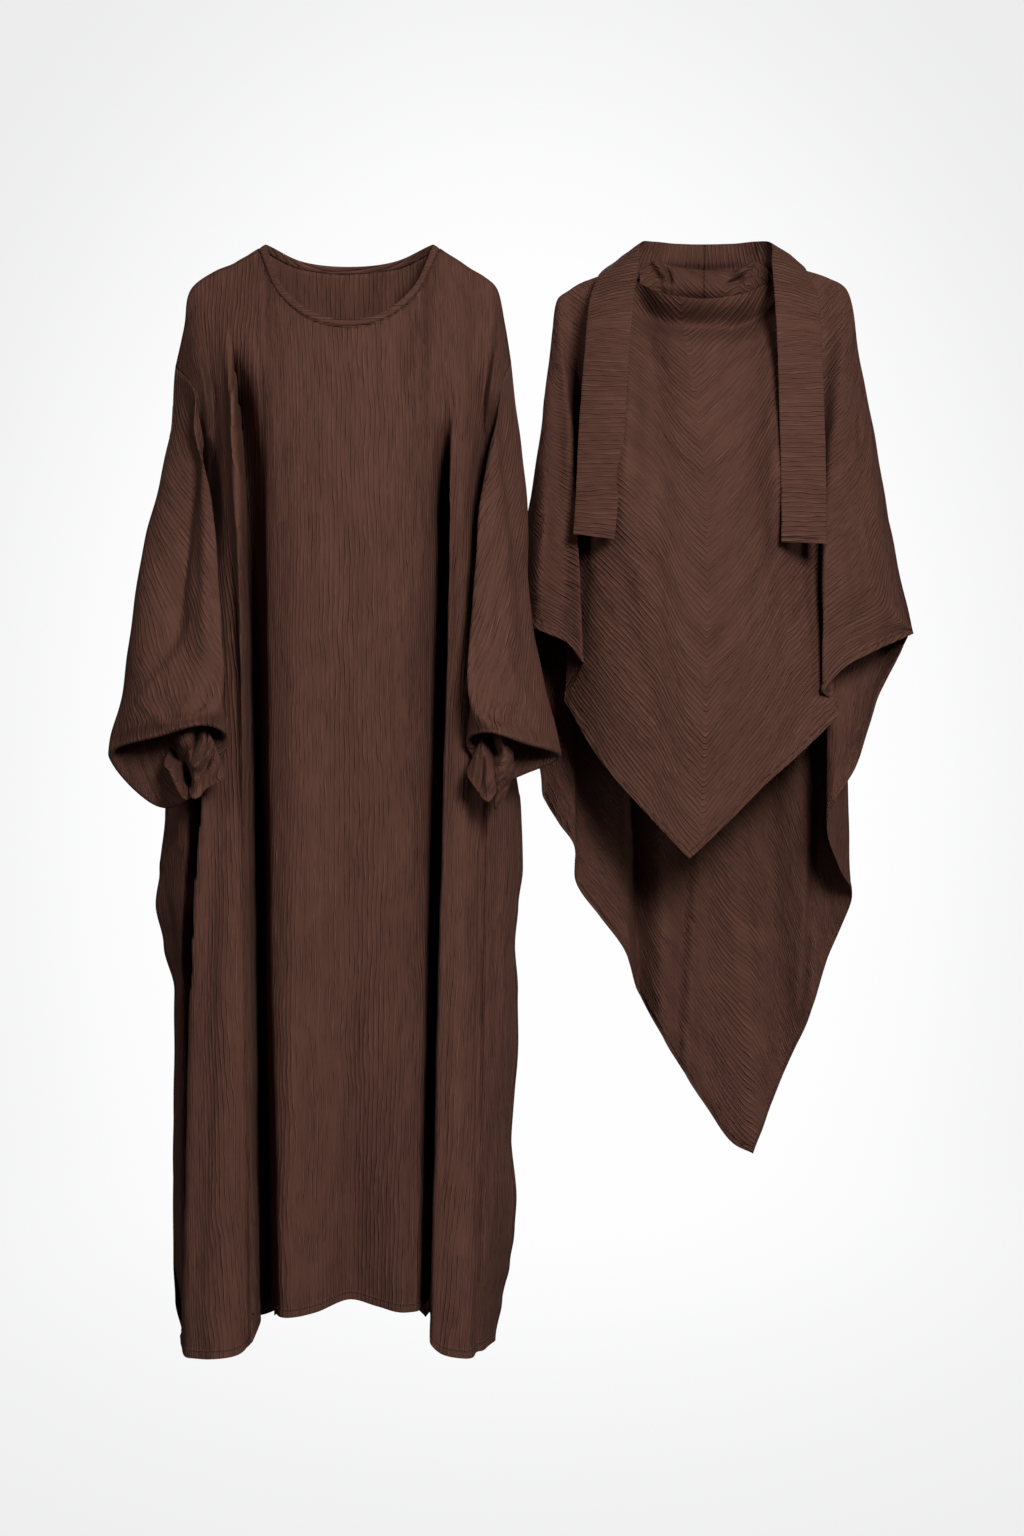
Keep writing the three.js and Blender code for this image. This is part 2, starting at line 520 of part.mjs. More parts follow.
const CAPE_BACK = [
  { fold: "left wing tip", middle: [-251, 2, -470], hem: [-252, 6, -482] },
  { fold: "left wing, outside", middle: [-238, 26, -470], hem: [-240, 26, -541] },
  { fold: "left wing, back", middle: [-226, 48, -403], hem: [-226, 32, -611] },
  { fold: "left wing, low", middle: [-212, 60, -352], hem: [-209, 30, -675] },
  { fold: "left swell", middle: [-197, 70, -352], hem: [-204, 46, -710] },
  { fold: "left furrow wall", middle: [-184, 62, -403], hem: [-187, 28, -739] },
  { fold: "left furrow", middle: [-172, 46, -429], hem: [-166, 22, -769] },
  { fold: "left column, outside", middle: [-161, 54, -454], hem: [-163, 42, -815] },
  { fold: "left column", middle: [-143, 80, -480], hem: [-133, 64, -859] },
  { fold: "left column, inside", middle: [-110, 95, -506], hem: [-100, 82, -905] },
  { fold: "left trough", middle: [-82, 82, -531], hem: [-82, 98, -960] },
  { fold: "middle, left", top: [-68, 44, -43], middle: [-51, 90, -557], hem: [-47, 80, -1024] },
  { fold: "middle", top: [0, 64, -38], middle: [-5, 110, -582], hem: [3, 102, -1103] },
  { fold: "point, left", top: [34, 57, -39], middle: [20, 103, -584], hem: [36, 98, -1149] },
  { fold: "back point", top: [68, 44, -43], middle: [46, 94, -582], hem: [63, 92, -1163] },
  { fold: "right column", middle: [84, 105, -557], hem: [103, 102, -1056] },
  { fold: "right trough", middle: [113, 85, -531], hem: [137, 76, -980] },
  { fold: "right swell", middle: [138, 96, -506], hem: [157, 90, -915] },
  { fold: "right edge", middle: [178, 72, -480], hem: [187, 62, -835] },
  { fold: "right lobe wall", middle: [168, 36, -470], hem: [172, 10, -797] },
  { fold: "right lobe", middle: [162, 12, -500], hem: [157, -26, -733] },
  { fold: "right wing, low", middle: [196, 16, -500], hem: [194, -14, -668] },
  { fold: "right wing, back", middle: [232, 26, -500], hem: [222, 20, -580] },
  { fold: "right wing tip", middle: [262, 4, -498], hem: [250, 10, -522] },
];
const CAPE_SHOULDER_ROWS = { left: 10, right: 8 };
const CAPE_FRONT_ROWS = [5, 5];
const CAPE_BACK_ROWS = [2, 3, 7];
const CAPE_YOKE = { depth: 0.58, drop: 0.09 }; // shares of the way from the shoulder to the middle

const capeBackRows = CAPE_BACK.map((row, k) => {
  const fromRight = CAPE_BACK.length - 1 - k;
  if (k <= CAPE_SHOULDER_ROWS.left) return { ...row, top: CAPE_FRONT[k].top };
  if (fromRight <= CAPE_SHOULDER_ROWS.right) return { ...row, top: CAPE_FRONT.at(-1 - fromRight).top };
  return row;
});

// The back runs out over the shoulder blades before it hangs.
function capeYoke({ top, middle }) {
  const { depth, drop } = CAPE_YOKE;
  return [mix(top[0], middle[0], drop), mix(top[1], middle[1], depth), mix(top[2], middle[2], drop)];
}

function capeGrid(rows, steps) {
  const lines = rows.map((row) => {
    const yoke = steps.length === 3 ? [capeYoke(row)] : [];
    return downLine([row.top, ...yoke, row.middle, row.hem], steps, (p) => placeOnCape(p.toArray()));
  });
  const { left, right } = CAPE_SHOULDER_ROWS;
  return panelGrid(lines, ACROSS, [left, rows.length - 1 - right]);
}

const capeFrontGrid = capeGrid(CAPE_FRONT, CAPE_FRONT_ROWS);
const capeBackGrid = capeGrid(capeBackRows, CAPE_BACK_ROWS);
const capeFrontNormals = gridNormals(capeFrontGrid, false, true);
const capeBackNormals = gridNormals(capeBackGrid, false, false);
const lastCapeFront = capeFrontGrid.length - 1;
const lastCapeBack = capeBackGrid.length - 1;
const capeSeams = [];
for (let i = 0; i <= CAPE_SHOULDER_ROWS.left * ACROSS; i++) capeSeams.push([[i, 0], [i, 0]]);
for (let i = 0; i <= CAPE_SHOULDER_ROWS.right * ACROSS; i++) {
  capeSeams.push([[lastCapeFront - i, 0], [lastCapeBack - i, 0]]);
}
sewNormals(capeFrontNormals, capeBackNormals, capeSeams);

// The cowl: a soft collar sewn inside the back neck. From its seam it rises to a ridge and falls
// forward; the rows run from the left neck point to the right one.
const COWL = [
  { at: "left neck", ridge: [-82, 6, -30], fall: [-84, -6, -54] },
  { at: "left fold", ridge: [-66, 30, -20], fall: [-62, 8, -70] },
  { at: "left back", ridge: [-38, 46, -27], fall: [-36, 22, -80] },
  { at: "centre back", ridge: [0, 52, -32], fall: [0, 28, -84] },
  { at: "right back", ridge: [40, 46, -31], fall: [36, 22, -80] },
  { at: "right fold", ridge: [64, 30, -22], fall: [62, 8, -70] },
  { at: "right neck", ridge: [82, 6, -30], fall: [84, -6, -54] },
];
const COWL_GAP = 0.6; // between the cowl and the neck it is sewn to
const COWL_PER_COLUMN = 2; // its columns to each one of the cape's back neck
const COWL_ROWS = [2, 4];

function cowl() {
  const neck = [];
  for (let i = CAPE_SHOULDER_ROWS.left * ACROSS; i <= lastCapeBack - CAPE_SHOULDER_ROWS.right * ACROSS; i++) {
    neck.push(capeBackGrid[i][0].clone().addScaledVector(capeBackNormals[i][0], -CLOTH - COWL_GAP));
  }
  const ridge = splineThrough(COWL.map((row) => placeOnCape(row.ridge)));
  const fall = splineThrough(COWL.map((row) => placeOnCape(row.fall)));
  const count = (neck.length - 1) * COWL_PER_COLUMN;
  const grid = [];
  for (let n = 1; n < count; n++) {
    const i = Math.floor(n / COWL_PER_COLUMN);
    const seam = neck[i].clone().lerp(neck[i + 1], n / COWL_PER_COLUMN - i);
    const stations = [seam, ridge.getPointAt(n / count), fall.getPointAt(n / count)];
    grid.push(downLine(stations.map((p) => p.toArray()), COWL_ROWS, (p) => p));
  }
  return piece("cape_cowl", wall(grid, gridNormals(grid, false, true), BAND_CLOTH), BROWN_TURNED);
}

// The ties are one long strip in two halves, sewn at the centre back. Each half stands up behind
// the neck, turns over the shoulder and hangs down the front. inner is the edge nearest the neck.
const TIE_LEFT = [
  { inner: [0, 73.6, 1], outer: [0, 72.6, -46] },
  { inner: [-37, 66, 2], outer: [-42, 63.8, -46.5] },
  { inner: [-66, 44, 5], outer: [-82, 44, -48] },
  { inner: [-81, 10, 4], outer: [-118, 12, -28] },
  { inner: [-84, -26, -20], outer: [-134, -22, -36] },
  { inner: [-89, -68, -56], outer: [-147, -58, -70] },
  { inner: [-96, -104, -130], outer: [-153, -90, -130] },
  { inner: [-102, -124, -237], outer: [-161, -108, -237] },
  { inner: [-110, -130, -326], outer: [-165, -118, -326] },
  { inner: [-115, -132, -376], outer: [-168, -121, -370] },
];
const TIE_RIGHT = [
  { inner: [0, 73.6, 1], outer: [0, 72.6, -46] },
  { inner: [37, 66, 2], outer: [42, 65, -46.5] },
  { inner: [66, 44, 5], outer: [82, 44, -48] },
  { inner: [86, 10, 4], outer: [122, 12, -24] },
  { inner: [87, -26, -20], outer: [136, -22, -40] },
  { inner: [90, -68, -56], outer: [147, -58, -72] },
  { inner: [94, -104, -130], outer: [151, -92, -130] },
  { inner: [97, -122, -237], outer: [155, -112, -237] },
  { inner: [99, -130, -326], outer: [157, -120, -326] },
  { inner: [99, -132, -380], outer: [157, -122, -382] },
];
const TIE_ACROSS = 2;
const TIE_STEPS = 2;
const TIE_CROWN = 1.5; // the strip bows out this much along its middle

function tie(name, rows, isLeft) {
  const steps = rows.slice(1).map(() => TIE_STEPS);
  const inner = downLine(rows.map((r) => r.inner), steps, (p) => placeOnCape(p.toArray()));
  const outer = downLine(rows.map((r) => r.outer), steps, (p) => placeOnCape(p.toArray()));
  const straight = Array.from({ length: TIE_ACROSS + 1 }, (_, i) =>
    inner.map((p, j) => p.clone().lerp(outer[j], i / TIE_ACROSS)),
  );
  const normals = gridNormals(straight, false, !isLeft);
  for (const column of normals) column[0].setX(0).normalize(); // square to the seam
  const grid = straight.map((column, i) =>
    column.map((p, j) => {
      const crown = TIE_CROWN * Math.sin((i / TIE_ACROSS) * Math.PI);
      return p.clone().addScaledVector(normals[i][j], crown);
    }),
  );
  drawBack(grid, "top", SEAM_GAP / 2);
  return piece(name, wall(grid, normals, BAND_CLOTH), BROWN_TURNED);
}

// ASSEMBLY

drawBack(frontGrid, "left", SEAM_GAP);
drawBack(frontGrid, "right", SEAM_GAP);
const binding = neckBinding();
drawBack(frontGrid, "top", SEAM_GAP);
const leftSleeve = sleeve("left");
const rightSleeve = sleeve("right");
drawBack(capeFrontGrid, "top", SEAM_GAP);

const dress = new THREE.Group();
dress.add(
  piece("dress_front", wall(frontGrid, frontNormals, CLOTH)),
  piece("dress_back", wall(backGrid, backNormals, CLOTH)),
  binding,
  leftSleeve,
  rightSleeve,
  cuff("left"),
  cuff("right"),
);

const cape = new THREE.Group();
cape.add(
  piece("cape_front", wall(capeFrontGrid, capeFrontNormals, CLOTH)),
  piece("cape_back", wall(capeBackGrid, capeBackNormals, CLOTH)),
  cowl(),
  tie("cape_tie_left", TIE_LEFT, true),
  tie("cape_tie_right", TIE_RIGHT, false),
);

const abaya = new THREE.Group();
abaya.add(dress, cape);

export default abaya;
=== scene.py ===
# %% [markdown]
# # A two-piece abaya
#
# The real set is two garments of one crinkled crepe: a floor-length batwing dress, and a pointed cape
# with a soft cowl neck and two ties. Both are shown as worn, with nobody in them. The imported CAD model
# gives each panel its place. This script lays a thin, finely divided sheet of cloth on the same fold
# lines, and adds what a solid can't show: creases, hems, stitches and the crepe's own crinkle.

import bmesh
import bpy
import numpy as np
from mathutils import Matrix, Vector


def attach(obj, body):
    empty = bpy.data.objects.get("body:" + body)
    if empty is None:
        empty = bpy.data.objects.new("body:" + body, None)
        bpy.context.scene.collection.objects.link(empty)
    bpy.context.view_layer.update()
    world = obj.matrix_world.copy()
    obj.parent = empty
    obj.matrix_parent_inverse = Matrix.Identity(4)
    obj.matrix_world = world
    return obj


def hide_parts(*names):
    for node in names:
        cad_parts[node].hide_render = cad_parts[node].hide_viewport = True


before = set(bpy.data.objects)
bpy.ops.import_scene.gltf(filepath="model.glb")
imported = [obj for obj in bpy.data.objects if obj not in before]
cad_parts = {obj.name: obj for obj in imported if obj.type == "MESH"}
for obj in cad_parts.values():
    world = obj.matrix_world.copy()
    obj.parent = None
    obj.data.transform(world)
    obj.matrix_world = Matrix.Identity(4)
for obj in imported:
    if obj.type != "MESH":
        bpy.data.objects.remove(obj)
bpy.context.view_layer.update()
print("the frame holds", ", ".join(sorted(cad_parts)))

# %% [markdown]
# ## From the elevation to metres
#
# A dressmaker draws a garment flat, from the front, in millimetres. The tables below hold such a
# drawing. It was made on the plane of the dress's shoulders from 4 m in front of it, so a point that
# hangs nearer or farther is carried along its sight line to its own depth.

# %% The elevation
MM = 0.001
SIGHT_DISTANCE = 4000
SIGHT = np.array([210.0, 0.0, -669.0])
CAPE_CENTRE = 456
CAPE_SETBACK = 90


def place(points):
    """Points (x, depth, height) of the elevation, in millimetres, as points in the row frame."""
    points = np.asarray(points, float)
    k = 1 + points[..., 1:2] / SIGHT_DISTANCE
    flat = SIGHT + (points - SIGHT) * k
    return np.concatenate([flat[..., :1], points[..., 1:2], flat[..., 2:]], axis=-1) * MM


def place_on_cape(points):
    return place(np.asarray(points, float) + [CAPE_CENTRE, CAPE_SETBACK, 0])


print("the dress's neck is at", place([0, 0, 0]).round(3))
print("the cape's neck is at", place_on_cape([0, 0, 0]).round(3))

# %% [markdown]
# ## The camera
#
# It comes early because every later choice is judged through it. The garments hang 4 m away, square
# to the camera, as a catalogue picture has them. Only the long side of the frame sets the lens.

# %% The camera
SENSOR = 36
PIXELS_HIGH = 1536
MM_PER_PIXEL = 1.28  # on the plane of the dress's shoulders
FRAME_HEIGHT = PIXELS_HIGH * MM_PER_PIXEL * MM
camera_data = bpy.data.cameras.new("camera")
camera_data.sensor_width = SENSOR
camera_data.lens = SENSOR * SIGHT_DISTANCE * MM / FRAME_HEIGHT
camera = bpy.data.objects.new("camera", camera_data)
camera.location = (SIGHT[0] * MM, -SIGHT_DISTANCE * MM, SIGHT[2] * MM)
camera.rotation_euler = (np.pi / 2, 0, 0)
bpy.context.scene.collection.objects.link(camera)
bpy.context.scene.camera = camera
print("the lens is", round(camera_data.lens, 1), "mm")

# %% [markdown]
# ## Smooth lines through a few folds
#
# Cloth bends evenly between the places where it is held, so each fold line is a centripetal
# Catmull-Rom curve: it goes through every station and never loops back on itself. The same curve then
# runs across the folds. Where two panels meet at a seam's end, the curve is broken into two.


# %% Curves
SHORTEST_STEP = 1e-9


def spline(points, at, closed=False):
    """Points on the curve through points[0], points[1], ... at the places given, counted in points."""
    points = np.asarray(points, float)
    count = len(points)
    at = np.asarray(at, float)
    first = np.floor(at).astype(int)
    if not closed:
        first = np.clip(first, 0, count - 2)
        ends = [2 * points[:1] - points[1:2], points, 2 * points[-1:] - points[-2:-1]]
        padded = np.concatenate(ends)
        near = [padded[first + k] for k in range(4)]
    else:
        near = [points[(first + k - 1) % count] for k in range(4)]
    p0, p1, p2, p3 = near
    w = (at - first).reshape((-1,) + (1,) * (points.ndim - 1))

    def knot(a, b):
        return np.maximum(np.linalg.norm(b - a, axis=-1, keepdims=True), SHORTEST_STEP) ** 0.5

    d0, d1, d2 = knot(p0, p1), knot(p1, p2), knot(p2, p3)
    leave = ((p1 - p0) / d0 - (p2 - p0) / (d0 + d1) + (p2 - p1) / d1) * d1
    arrive = ((p2 - p1) / d1 - (p3 - p1) / (d1 + d2) + (p3 - p2) / d2) * d1
    return (
        p1
        + leave * w
        + (3 * (p2 - p1) - 2 * leave - arrive) * w**2
        + (2 * (p1 - p2) + leave + arrive) * w**3
    )


def broken_spline(points, at, breaks):
    """The same, turning a corner at each of the breaks."""
    ends = [0, *breaks, len(points) - 1]
    at = np.asarray(at, float)
    out = np.empty((len(at),) + np.shape(points)[1:])
    for start, end in zip(ends, ends[1:]):
        inside = (at >= start) & (at <= end)
        out[inside] = spline(points[start : end + 1], at[inside] - start)
    return out


def lengths_along(points, axis=0):
    """Running length along a line of points, starting at 0."""
    steps = np.linalg.norm(np.diff(points, axis=axis), axis=-1)
    start = np.zeros_like(np.take(steps, [0], axis=axis))
    return np.concatenate([start, np.cumsum(steps, axis=axis)], axis=axis)


def by_length(points, stations):
    """The line of points again, at the given distances along it."""
    run = lengths_along(points)
    return np.stack([np.interp(stations, run, points[:, k]) for k in range(3)], axis=-1)


def mix(a, b, t):
    return a + (b - a) * t


def smoothstep(t):
    """From 0 to 1, leaving and arriving slowly."""
    t = np.clip(t, 0, 1)
    return t * t * (3 - 2 * t)


print("a quarter of the way round a corner:", spline([[0, 0, 0], [1, 0, 0], [1, 1, 0]], [0.5])[0].round(2))

# %% [markdown]
# ## The dress's fold lines
#
# Cut wide under the arms, the dress falls in a deep column of cloth on each side of a flatter middle
# panel. Each row is one fold line, from the left side seam to the right one: where it leaves the
# shoulder seam or neckline, where it stands just above the sleeve ends, and where it meets the hem.

# %% The dress's fold lines
UNDERARM_HEIGHT = -288
MIDDLE_HEIGHT = -560


def fold(name, top, middle, hem, yoke=None, underarm=None):
    return {"name": name, "top": top, "middle": middle, "hem": hem, "yoke": yoke, "underarm": underarm}


DRESS_FRONT = [
    fold("left side seam", (-221, 5, -156), (-190, 40), (-210, 40, -1396), (-196, -60, -186), (-183, 0)),
    fold("arm fold", (-210, 3, -105), (-187, -2), (-209, -50, -1404), (-184, -74, -176), (-176, -24)),
    fold("armpit groove", (-201, 2, -57), (-178, -50), (-202, -115, -1421), (-176, -50, -168), (-168, -46)),
    fold("column, outside", (-170, 2, -33), (-158, -80), (-177, -148, -1426), (-164, -62, -160), (-156, -78)),
    fold("column, front", (-148, 3, -24), (-137, -86), (-141, -145, -1420)),
    fold("column, edge", (-138, 3, -18), (-130, -62), (-120, -118, -1398)),
    fold("groove wall", (-129, 4, -13), (-120, -35), (-119, -60, -1376)),
    fold("groove floor", (-121, 4, -8), (-106, -32), (-110, -32, -1368)),
    fold("panel, left edge", (-114, 5, -4), (-99, -70), (-102, -78, -1367)),
    fold("panel, left swell", (-88, -38, -62), (-70, -94), (-78, -104, -1373)),
    fold("panel, left", (-46, -60, -95), (-34, -97), (-42, -88, -1366)),
    fold("panel, hollow", (0, -66, -104), (2, -95), (2, -62, -1349)),
    fold("panel, right", (46, -60, -95), (38, -97), (38, -82, -1358)),
    fold("panel, right swell", (88, -38, -62), (72, -90), (68, -102, -1366)),
    fold("panel, right edge", (118, 5, -4), (98, -66), (98, -90, -1363)),
    fold("groove floor", (128, 4, -11), (112, -36), (108, -45, -1362)),
    fold("column, edge", (141, 3, -19), (123, -62), (103, -100, -1385)),
    fold("column, front", (156, 3, -29), (134, -86), (118, -146, -1418)),
    fold("column, outside", (175, 2, -40), (152, -84), (150, -150, -1425), (164, -62, -160), (152, -78)),
    fold("armpit groove", (191, 2, -55), (174, -50), (168, -118, -1418), (177, -50, -168), (164, -46)),
    fold("arm fold", (201, 3, -100), (188, -5), (180, -55, -1408), (184, -74, -174), (172, -24)),
    fold("right side seam", (209, 5, -150), (196, 38), (188, 10, -1402), (196, -60, -184), (182, 0)),
]
DRESS_BACK = [
    fold("left side seam", None, (-190, 40), (-210, 40, -1396), (-200, 46, -190), (-183, 0)),
    fold("left back arm", None, (-178, 76), (-206, 72, -1392), (-186, 62, -176), (-177, 40)),
    fold("left blade", None, (-162, 84), (-192, 100, -1386), (-172, 70, -166), (-166, 66)),
    fold("left column, outside", None, (-150, 80), (-172, 92, -1380)),
    fold("left column, front", None, (-134, 96), (-150, 120, -1376)),
    fold("left column, edge", None, (-122, 104), (-128, 130, -1372)),
    fold("left column, inside", None, (-108, 98), (-106, 112, -1368)),
    fold("left trough", None, (-94, 90), (-86, 86, -1360)),
    fold("left swell", None, (-76, 97), (-64, 98, -1353)),
    fold("centre left", (-62, 46, -30), (-42, 106), (-34, 116, -1346)),
    fold("centre back", (2, 60, -37), (0, 100), (0, 98, -1342)),
    fold("centre right", (64, 46, -30), (42, 106), (36, 114, -1346)),
    fold("right swell", None, (78, 98), (70, 100, -1353)),
    fold("right trough", None, (98, 90), (94, 88, -1360)),
    fold("right column, inside", None, (114, 99), (116, 116, -1372)),
    fold("right column, edge", None, (128, 103), (134, 128, -1376)),
    fold("right column, outside", None, (142, 92), (152, 110, -1382)),
    fold("right blade", None, (156, 82), (168, 92, -1390), (172, 70, -166), (164, 66)),
    fold("right back arm", None, (172, 72), (180, 60, -1396), (184, 62, -176), (174, 40)),
    fold("right side seam", None, (196, 38), (188, 10, -1402), (196, 46, -188), (182, 0)),
]
DRESS_SHOULDER_ROWS = (8, 7)
SIDE_EDGE_HEIGHTS = (-560, -724, -796, -844, -896, -952, -1020, -1140, -1220, -1260, -1300, -1350, -1400)
SIDE_EDGE_LEFT = (-190, -232, -238, -245, -234, -220, -220, -221, -221, -221, -221, -218, -208)
SIDE_EDGE_RIGHT = (196, 218, 220, 214, 210, 214, 215, 207, 214, 212, 206, 196, 188)
EDGE_SHARE = (1, 0.55, 0.12)
print(len(DRESS_FRONT), "fold lines on the front and", len(DRESS_BACK), "on the back,")
print("from the", DRESS_FRONT[0]["name"], "to the", DRESS_FRONT[-1]["name"])

# %% [markdown]
# Above the arms the cloth lies on the chest, so the folds there are eased onto a rounded-square
# section. The back borrows the front's own shoulder seam, so the two panels meet exactly.

# %% The dress's surface
YOKE = {"down": 0.5, "along": 0.3, "front": -92, "back": 84, "half_width": 204, "opened": 0.05}
UNDERARM = {"down": 1, "along": 0.56, "front": -106, "back": 94, "half_width": 200, "opened": 0.38}
CHEST_SQUARENESS = 2.6
UNDERARM_STATION = 2  # counted down from the shoulder
LINE_STEPS = 800


def chest_station(row, level, side):
    x = mix(row["top"][0], row["middle"][0], level["along"])
    edge = min(1, abs(x) / level["half_width"])
    round_share = (1 - edge**CHEST_SQUARENESS) ** (1 / CHEST_SQUARENESS)
    y = mix(level[side] * round_share, row["middle"][1], level["opened"])
    return (x, y, mix(row["top"][2], UNDERARM_HEIGHT, level["down"]))


def dress_stations(row, side):
    yoke = row["yoke"] or chest_station(row, YOKE, side)
    underarm = row["underarm"]
    underarm = (*underarm, UNDERARM_HEIGHT) if underarm else chest_station(row, UNDERARM, side)
    return np.array([row["top"], yoke, underarm, (*row["middle"], MIDDLE_HEIGHT), row["hem"]], float)


def swing_of_edge(heights, outline):
    """How far a side edge stands from a straight line, below the sleeves."""
    table = np.array(SIDE_EDGE_HEIGHTS[::-1], float)
    steps = np.interp(heights, table, np.arange(len(table)))
    low = np.clip(np.floor(steps).astype(int), 0, len(table) - 2)
    t = steps - low
    edge = np.array(outline[::-1], float)
    wavy = mix(edge[low], edge[low + 1], smoothstep(t))
    straight = np.interp(heights, table[[0, -1]], edge[[0, -1]])
    return np.where(heights > MIDDLE_HEIGHT, 0, wavy - straight)


def share_shoulder(back, front, shoulder_rows):
    """The back's rows, with the front's own points along the two shoulder seams."""
    left, right = shoulder_rows
    rows = []
    for k, row in enumerate(back):
        from_right = len(back) - 1 - k
        if k <= left:
            row = {**row, "top": front[k]["top"]}
        elif from_right <= right:
            row = {**row, "top": front[len(front) - 1 - from_right]["top"]}
        rows.append(row)
    return rows


def dress_lines(rows, side):
    lines = []
    for k, row in enumerate(rows):
        from_right = len(rows) - 1 - k
        is_seam = k == 0 or from_right == 0
        stations = dress_stations(row, side)
        at = np.linspace(0, len(stations) - 1, LINE_STEPS + 1)
        line = broken_spline(stations, at, [UNDERARM_STATION] if is_seam else [])
        near_edge = min(k, from_right)
        if near_edge < len(EDGE_SHARE):
            outline = SIDE_EDGE_LEFT if k < from_right else SIDE_EDGE_RIGHT
            line[:, 0] += EDGE_SHARE[near_edge] * swing_of_edge(line[:, 2], outline)
        lines.append(place(line))
    return lines


front_lines = dress_lines(DRESS_FRONT, "front")
back_lines = dress_lines(share_shoulder(DRESS_BACK, DRESS_FRONT, DRESS_SHOULDER_ROWS), "back")
middle_fold = front_lines[len(front_lines) // 2]
print("the front's middle fold is", round(lengths_along(middle_fold)[-1], 3), "m long")

# %% [markdown]
# ## A sheet of cloth on its fold lines
#
# Each fold line is divided by length, with close rows at the hem, where the cloth is folded double and
# sewn. Every two fold lines have the same number of columns between them, so the columns are closest
# where the cloth is folded most.

# %% Divide a panel
HEM_WIDTH = 10 * MM
HEM_ROWS = np.array([0.0, 0.7, 2.0, 4.5, 7.5, 9.2, 10.0, 10.8, 13.0]) * MM
CORNER_REACH = 30 * MM


def rows_of_line(line, count, crowding=1.0):
    """Rows down a fold line, at most a third of it for the hem. Crowding above 1 draws the others
    together near the top."""
    length = lengths_along(line)[-1]
    hem = np.minimum(HEM_ROWS, length * HEM_ROWS / (3 * HEM_ROWS[-1]))
    upper = (length - hem[-1]) * np.linspace(0, 1, count + 1)[:-1] ** crowding
    return by_length(line, np.concatenate([upper, length - hem[::-1]]))


def panel(lines, columns, rows, neck_points, hem_points=(), crowding=1.0):
    """grid[i, j]: i across the folds, j down them. The edge turns a corner at the points given."""
    stations = np.stack([rows_of_line(line, rows, crowding) for line in lines])
    at = np.linspace(0, len(lines) - 1, columns + 1)
    smooth = spline(stations, at)
    depth = lengths_along(smooth, axis=1)
    neck_share = np.clip(1 - depth / CORNER_REACH, 0, 1)[..., None] ** 2
    hem_share = np.clip(1 - (depth[:, -1:] - depth) / CORNER_REACH, 0, 1)[..., None] ** 2
    grid = mix(smooth, broken_spline(stations, at, neck_points), neck_share)
    return mix(grid, broken_spline(stations, at, hem_points), hem_share)


FLATTEST = 1e-12


def normals_of(grid, closed=False):
    if closed:
        across = np.roll(grid, -1, axis=0) - np.roll(grid, 1, axis=0)
        across[0] = grid[1] - grid[-2]
        across[-1] = across[0]
    else:
        across = np.gradient(grid, axis=0)
    down = np.gradient(grid, axis=1)
    normal = np.cross(across, down)
    return normal / np.maximum(np.linalg.norm(normal, axis=-1, keepdims=True), FLATTEST)


print("the hem's rows lie", HEM_ROWS / MM, "mm from the edge")

# %% [markdown]
# ## Creases, one by one
#
# Real creases differ in length, depth and spacing, so each one is a row: where it starts, bends and
# ends on the elevation, how far it stands out (or in, below zero), and how wide it is. It fades at
# both ends. On top of them lies a slow, uneven swell, because no hanging cloth is ever quite flat.


# %% Creases
CREASE_FADE = 0.25  # the share of a crease over which each end fades
FOLD_FADE = 0.35
CREASE_POINTS = 9
# Each wave of the swell: its direction in radians, and its length against the swell's own.
SWELL_WAVES = [(0.1, 1), (0.9, 1.37), (1.7, 0.83), (2.4, 1.91), (2.9, 0.61)]
SWELL_SHIFT = 1.9
SWELL_TURN = 7


def elevation_of(grid):
    """Where each point is seen on the elevation, in millimetres."""
    depth = grid[..., 1]
    k = 1 + depth / (SIGHT_DISTANCE * MM)
    x = SIGHT[0] + (grid[..., 0] / MM - SIGHT[0]) / k
    z = SIGHT[2] + (grid[..., 2] / MM - SIGHT[2]) / k
    return np.stack([x, z], axis=-1)


def crease(seen, path, height, width, fade=CREASE_FADE):
    """The rise of one crease, in millimetres, at each seen point."""
    path = np.asarray(path, float)
    if len(path) > 2:
        path = spline(path, np.linspace(0, len(path) - 1, CREASE_POINTS))
    run = lengths_along(path)
    nearest = np.full(seen.shape[:-1], np.inf)
    place_along = np.zeros(seen.shape[:-1])
    for start, end, done in zip(path, path[1:], run):
        step = end - start
        t = np.clip(((seen - start) @ step) / (step @ step), 0, 1)
        away = np.linalg.norm(seen - start - t[..., None] * step, axis=-1)
        closer = away < nearest
        nearest = np.where(closer, away, nearest)
        place_along = np.where(closer, done + t * np.linalg.norm(step), place_along)
    share = place_along / run[-1]
    ends = smoothstep(np.minimum(share, 1 - share) / fade)
    return height * np.exp(-((nearest / width) ** 2)) * ends


def swell(seen, height, length, turn):
    """Slow unevenness: a few waves that cross, none of them a multiple of another."""
    total = np.zeros(seen.shape[:-1])
    for k, (angle, stretch) in enumerate(SWELL_WAVES):
        direction = np.array([np.cos(angle + turn), np.sin(angle + turn)])
        start = SWELL_SHIFT * k + SWELL_TURN * turn
        total += np.sin(seen @ direction * (2 * np.pi / (length * stretch)) + start)
    return height * total / 3


def creased(grid, normals, creases, swell_height, swell_length, turn):
    seen = elevation_of(grid)
    rise = swell(seen, swell_height, swell_length, turn)
    for path, height, width in creases:
        rise = rise + crease(seen, path, height, width)
    return grid + normals * (rise * MM)[..., None]


middle = crease(np.array([0.0, 50.0]), [(0, 0), (0, 100)], height=4, width=10)
print("a 4 mm crease is", middle.round(2), "mm high at its middle")

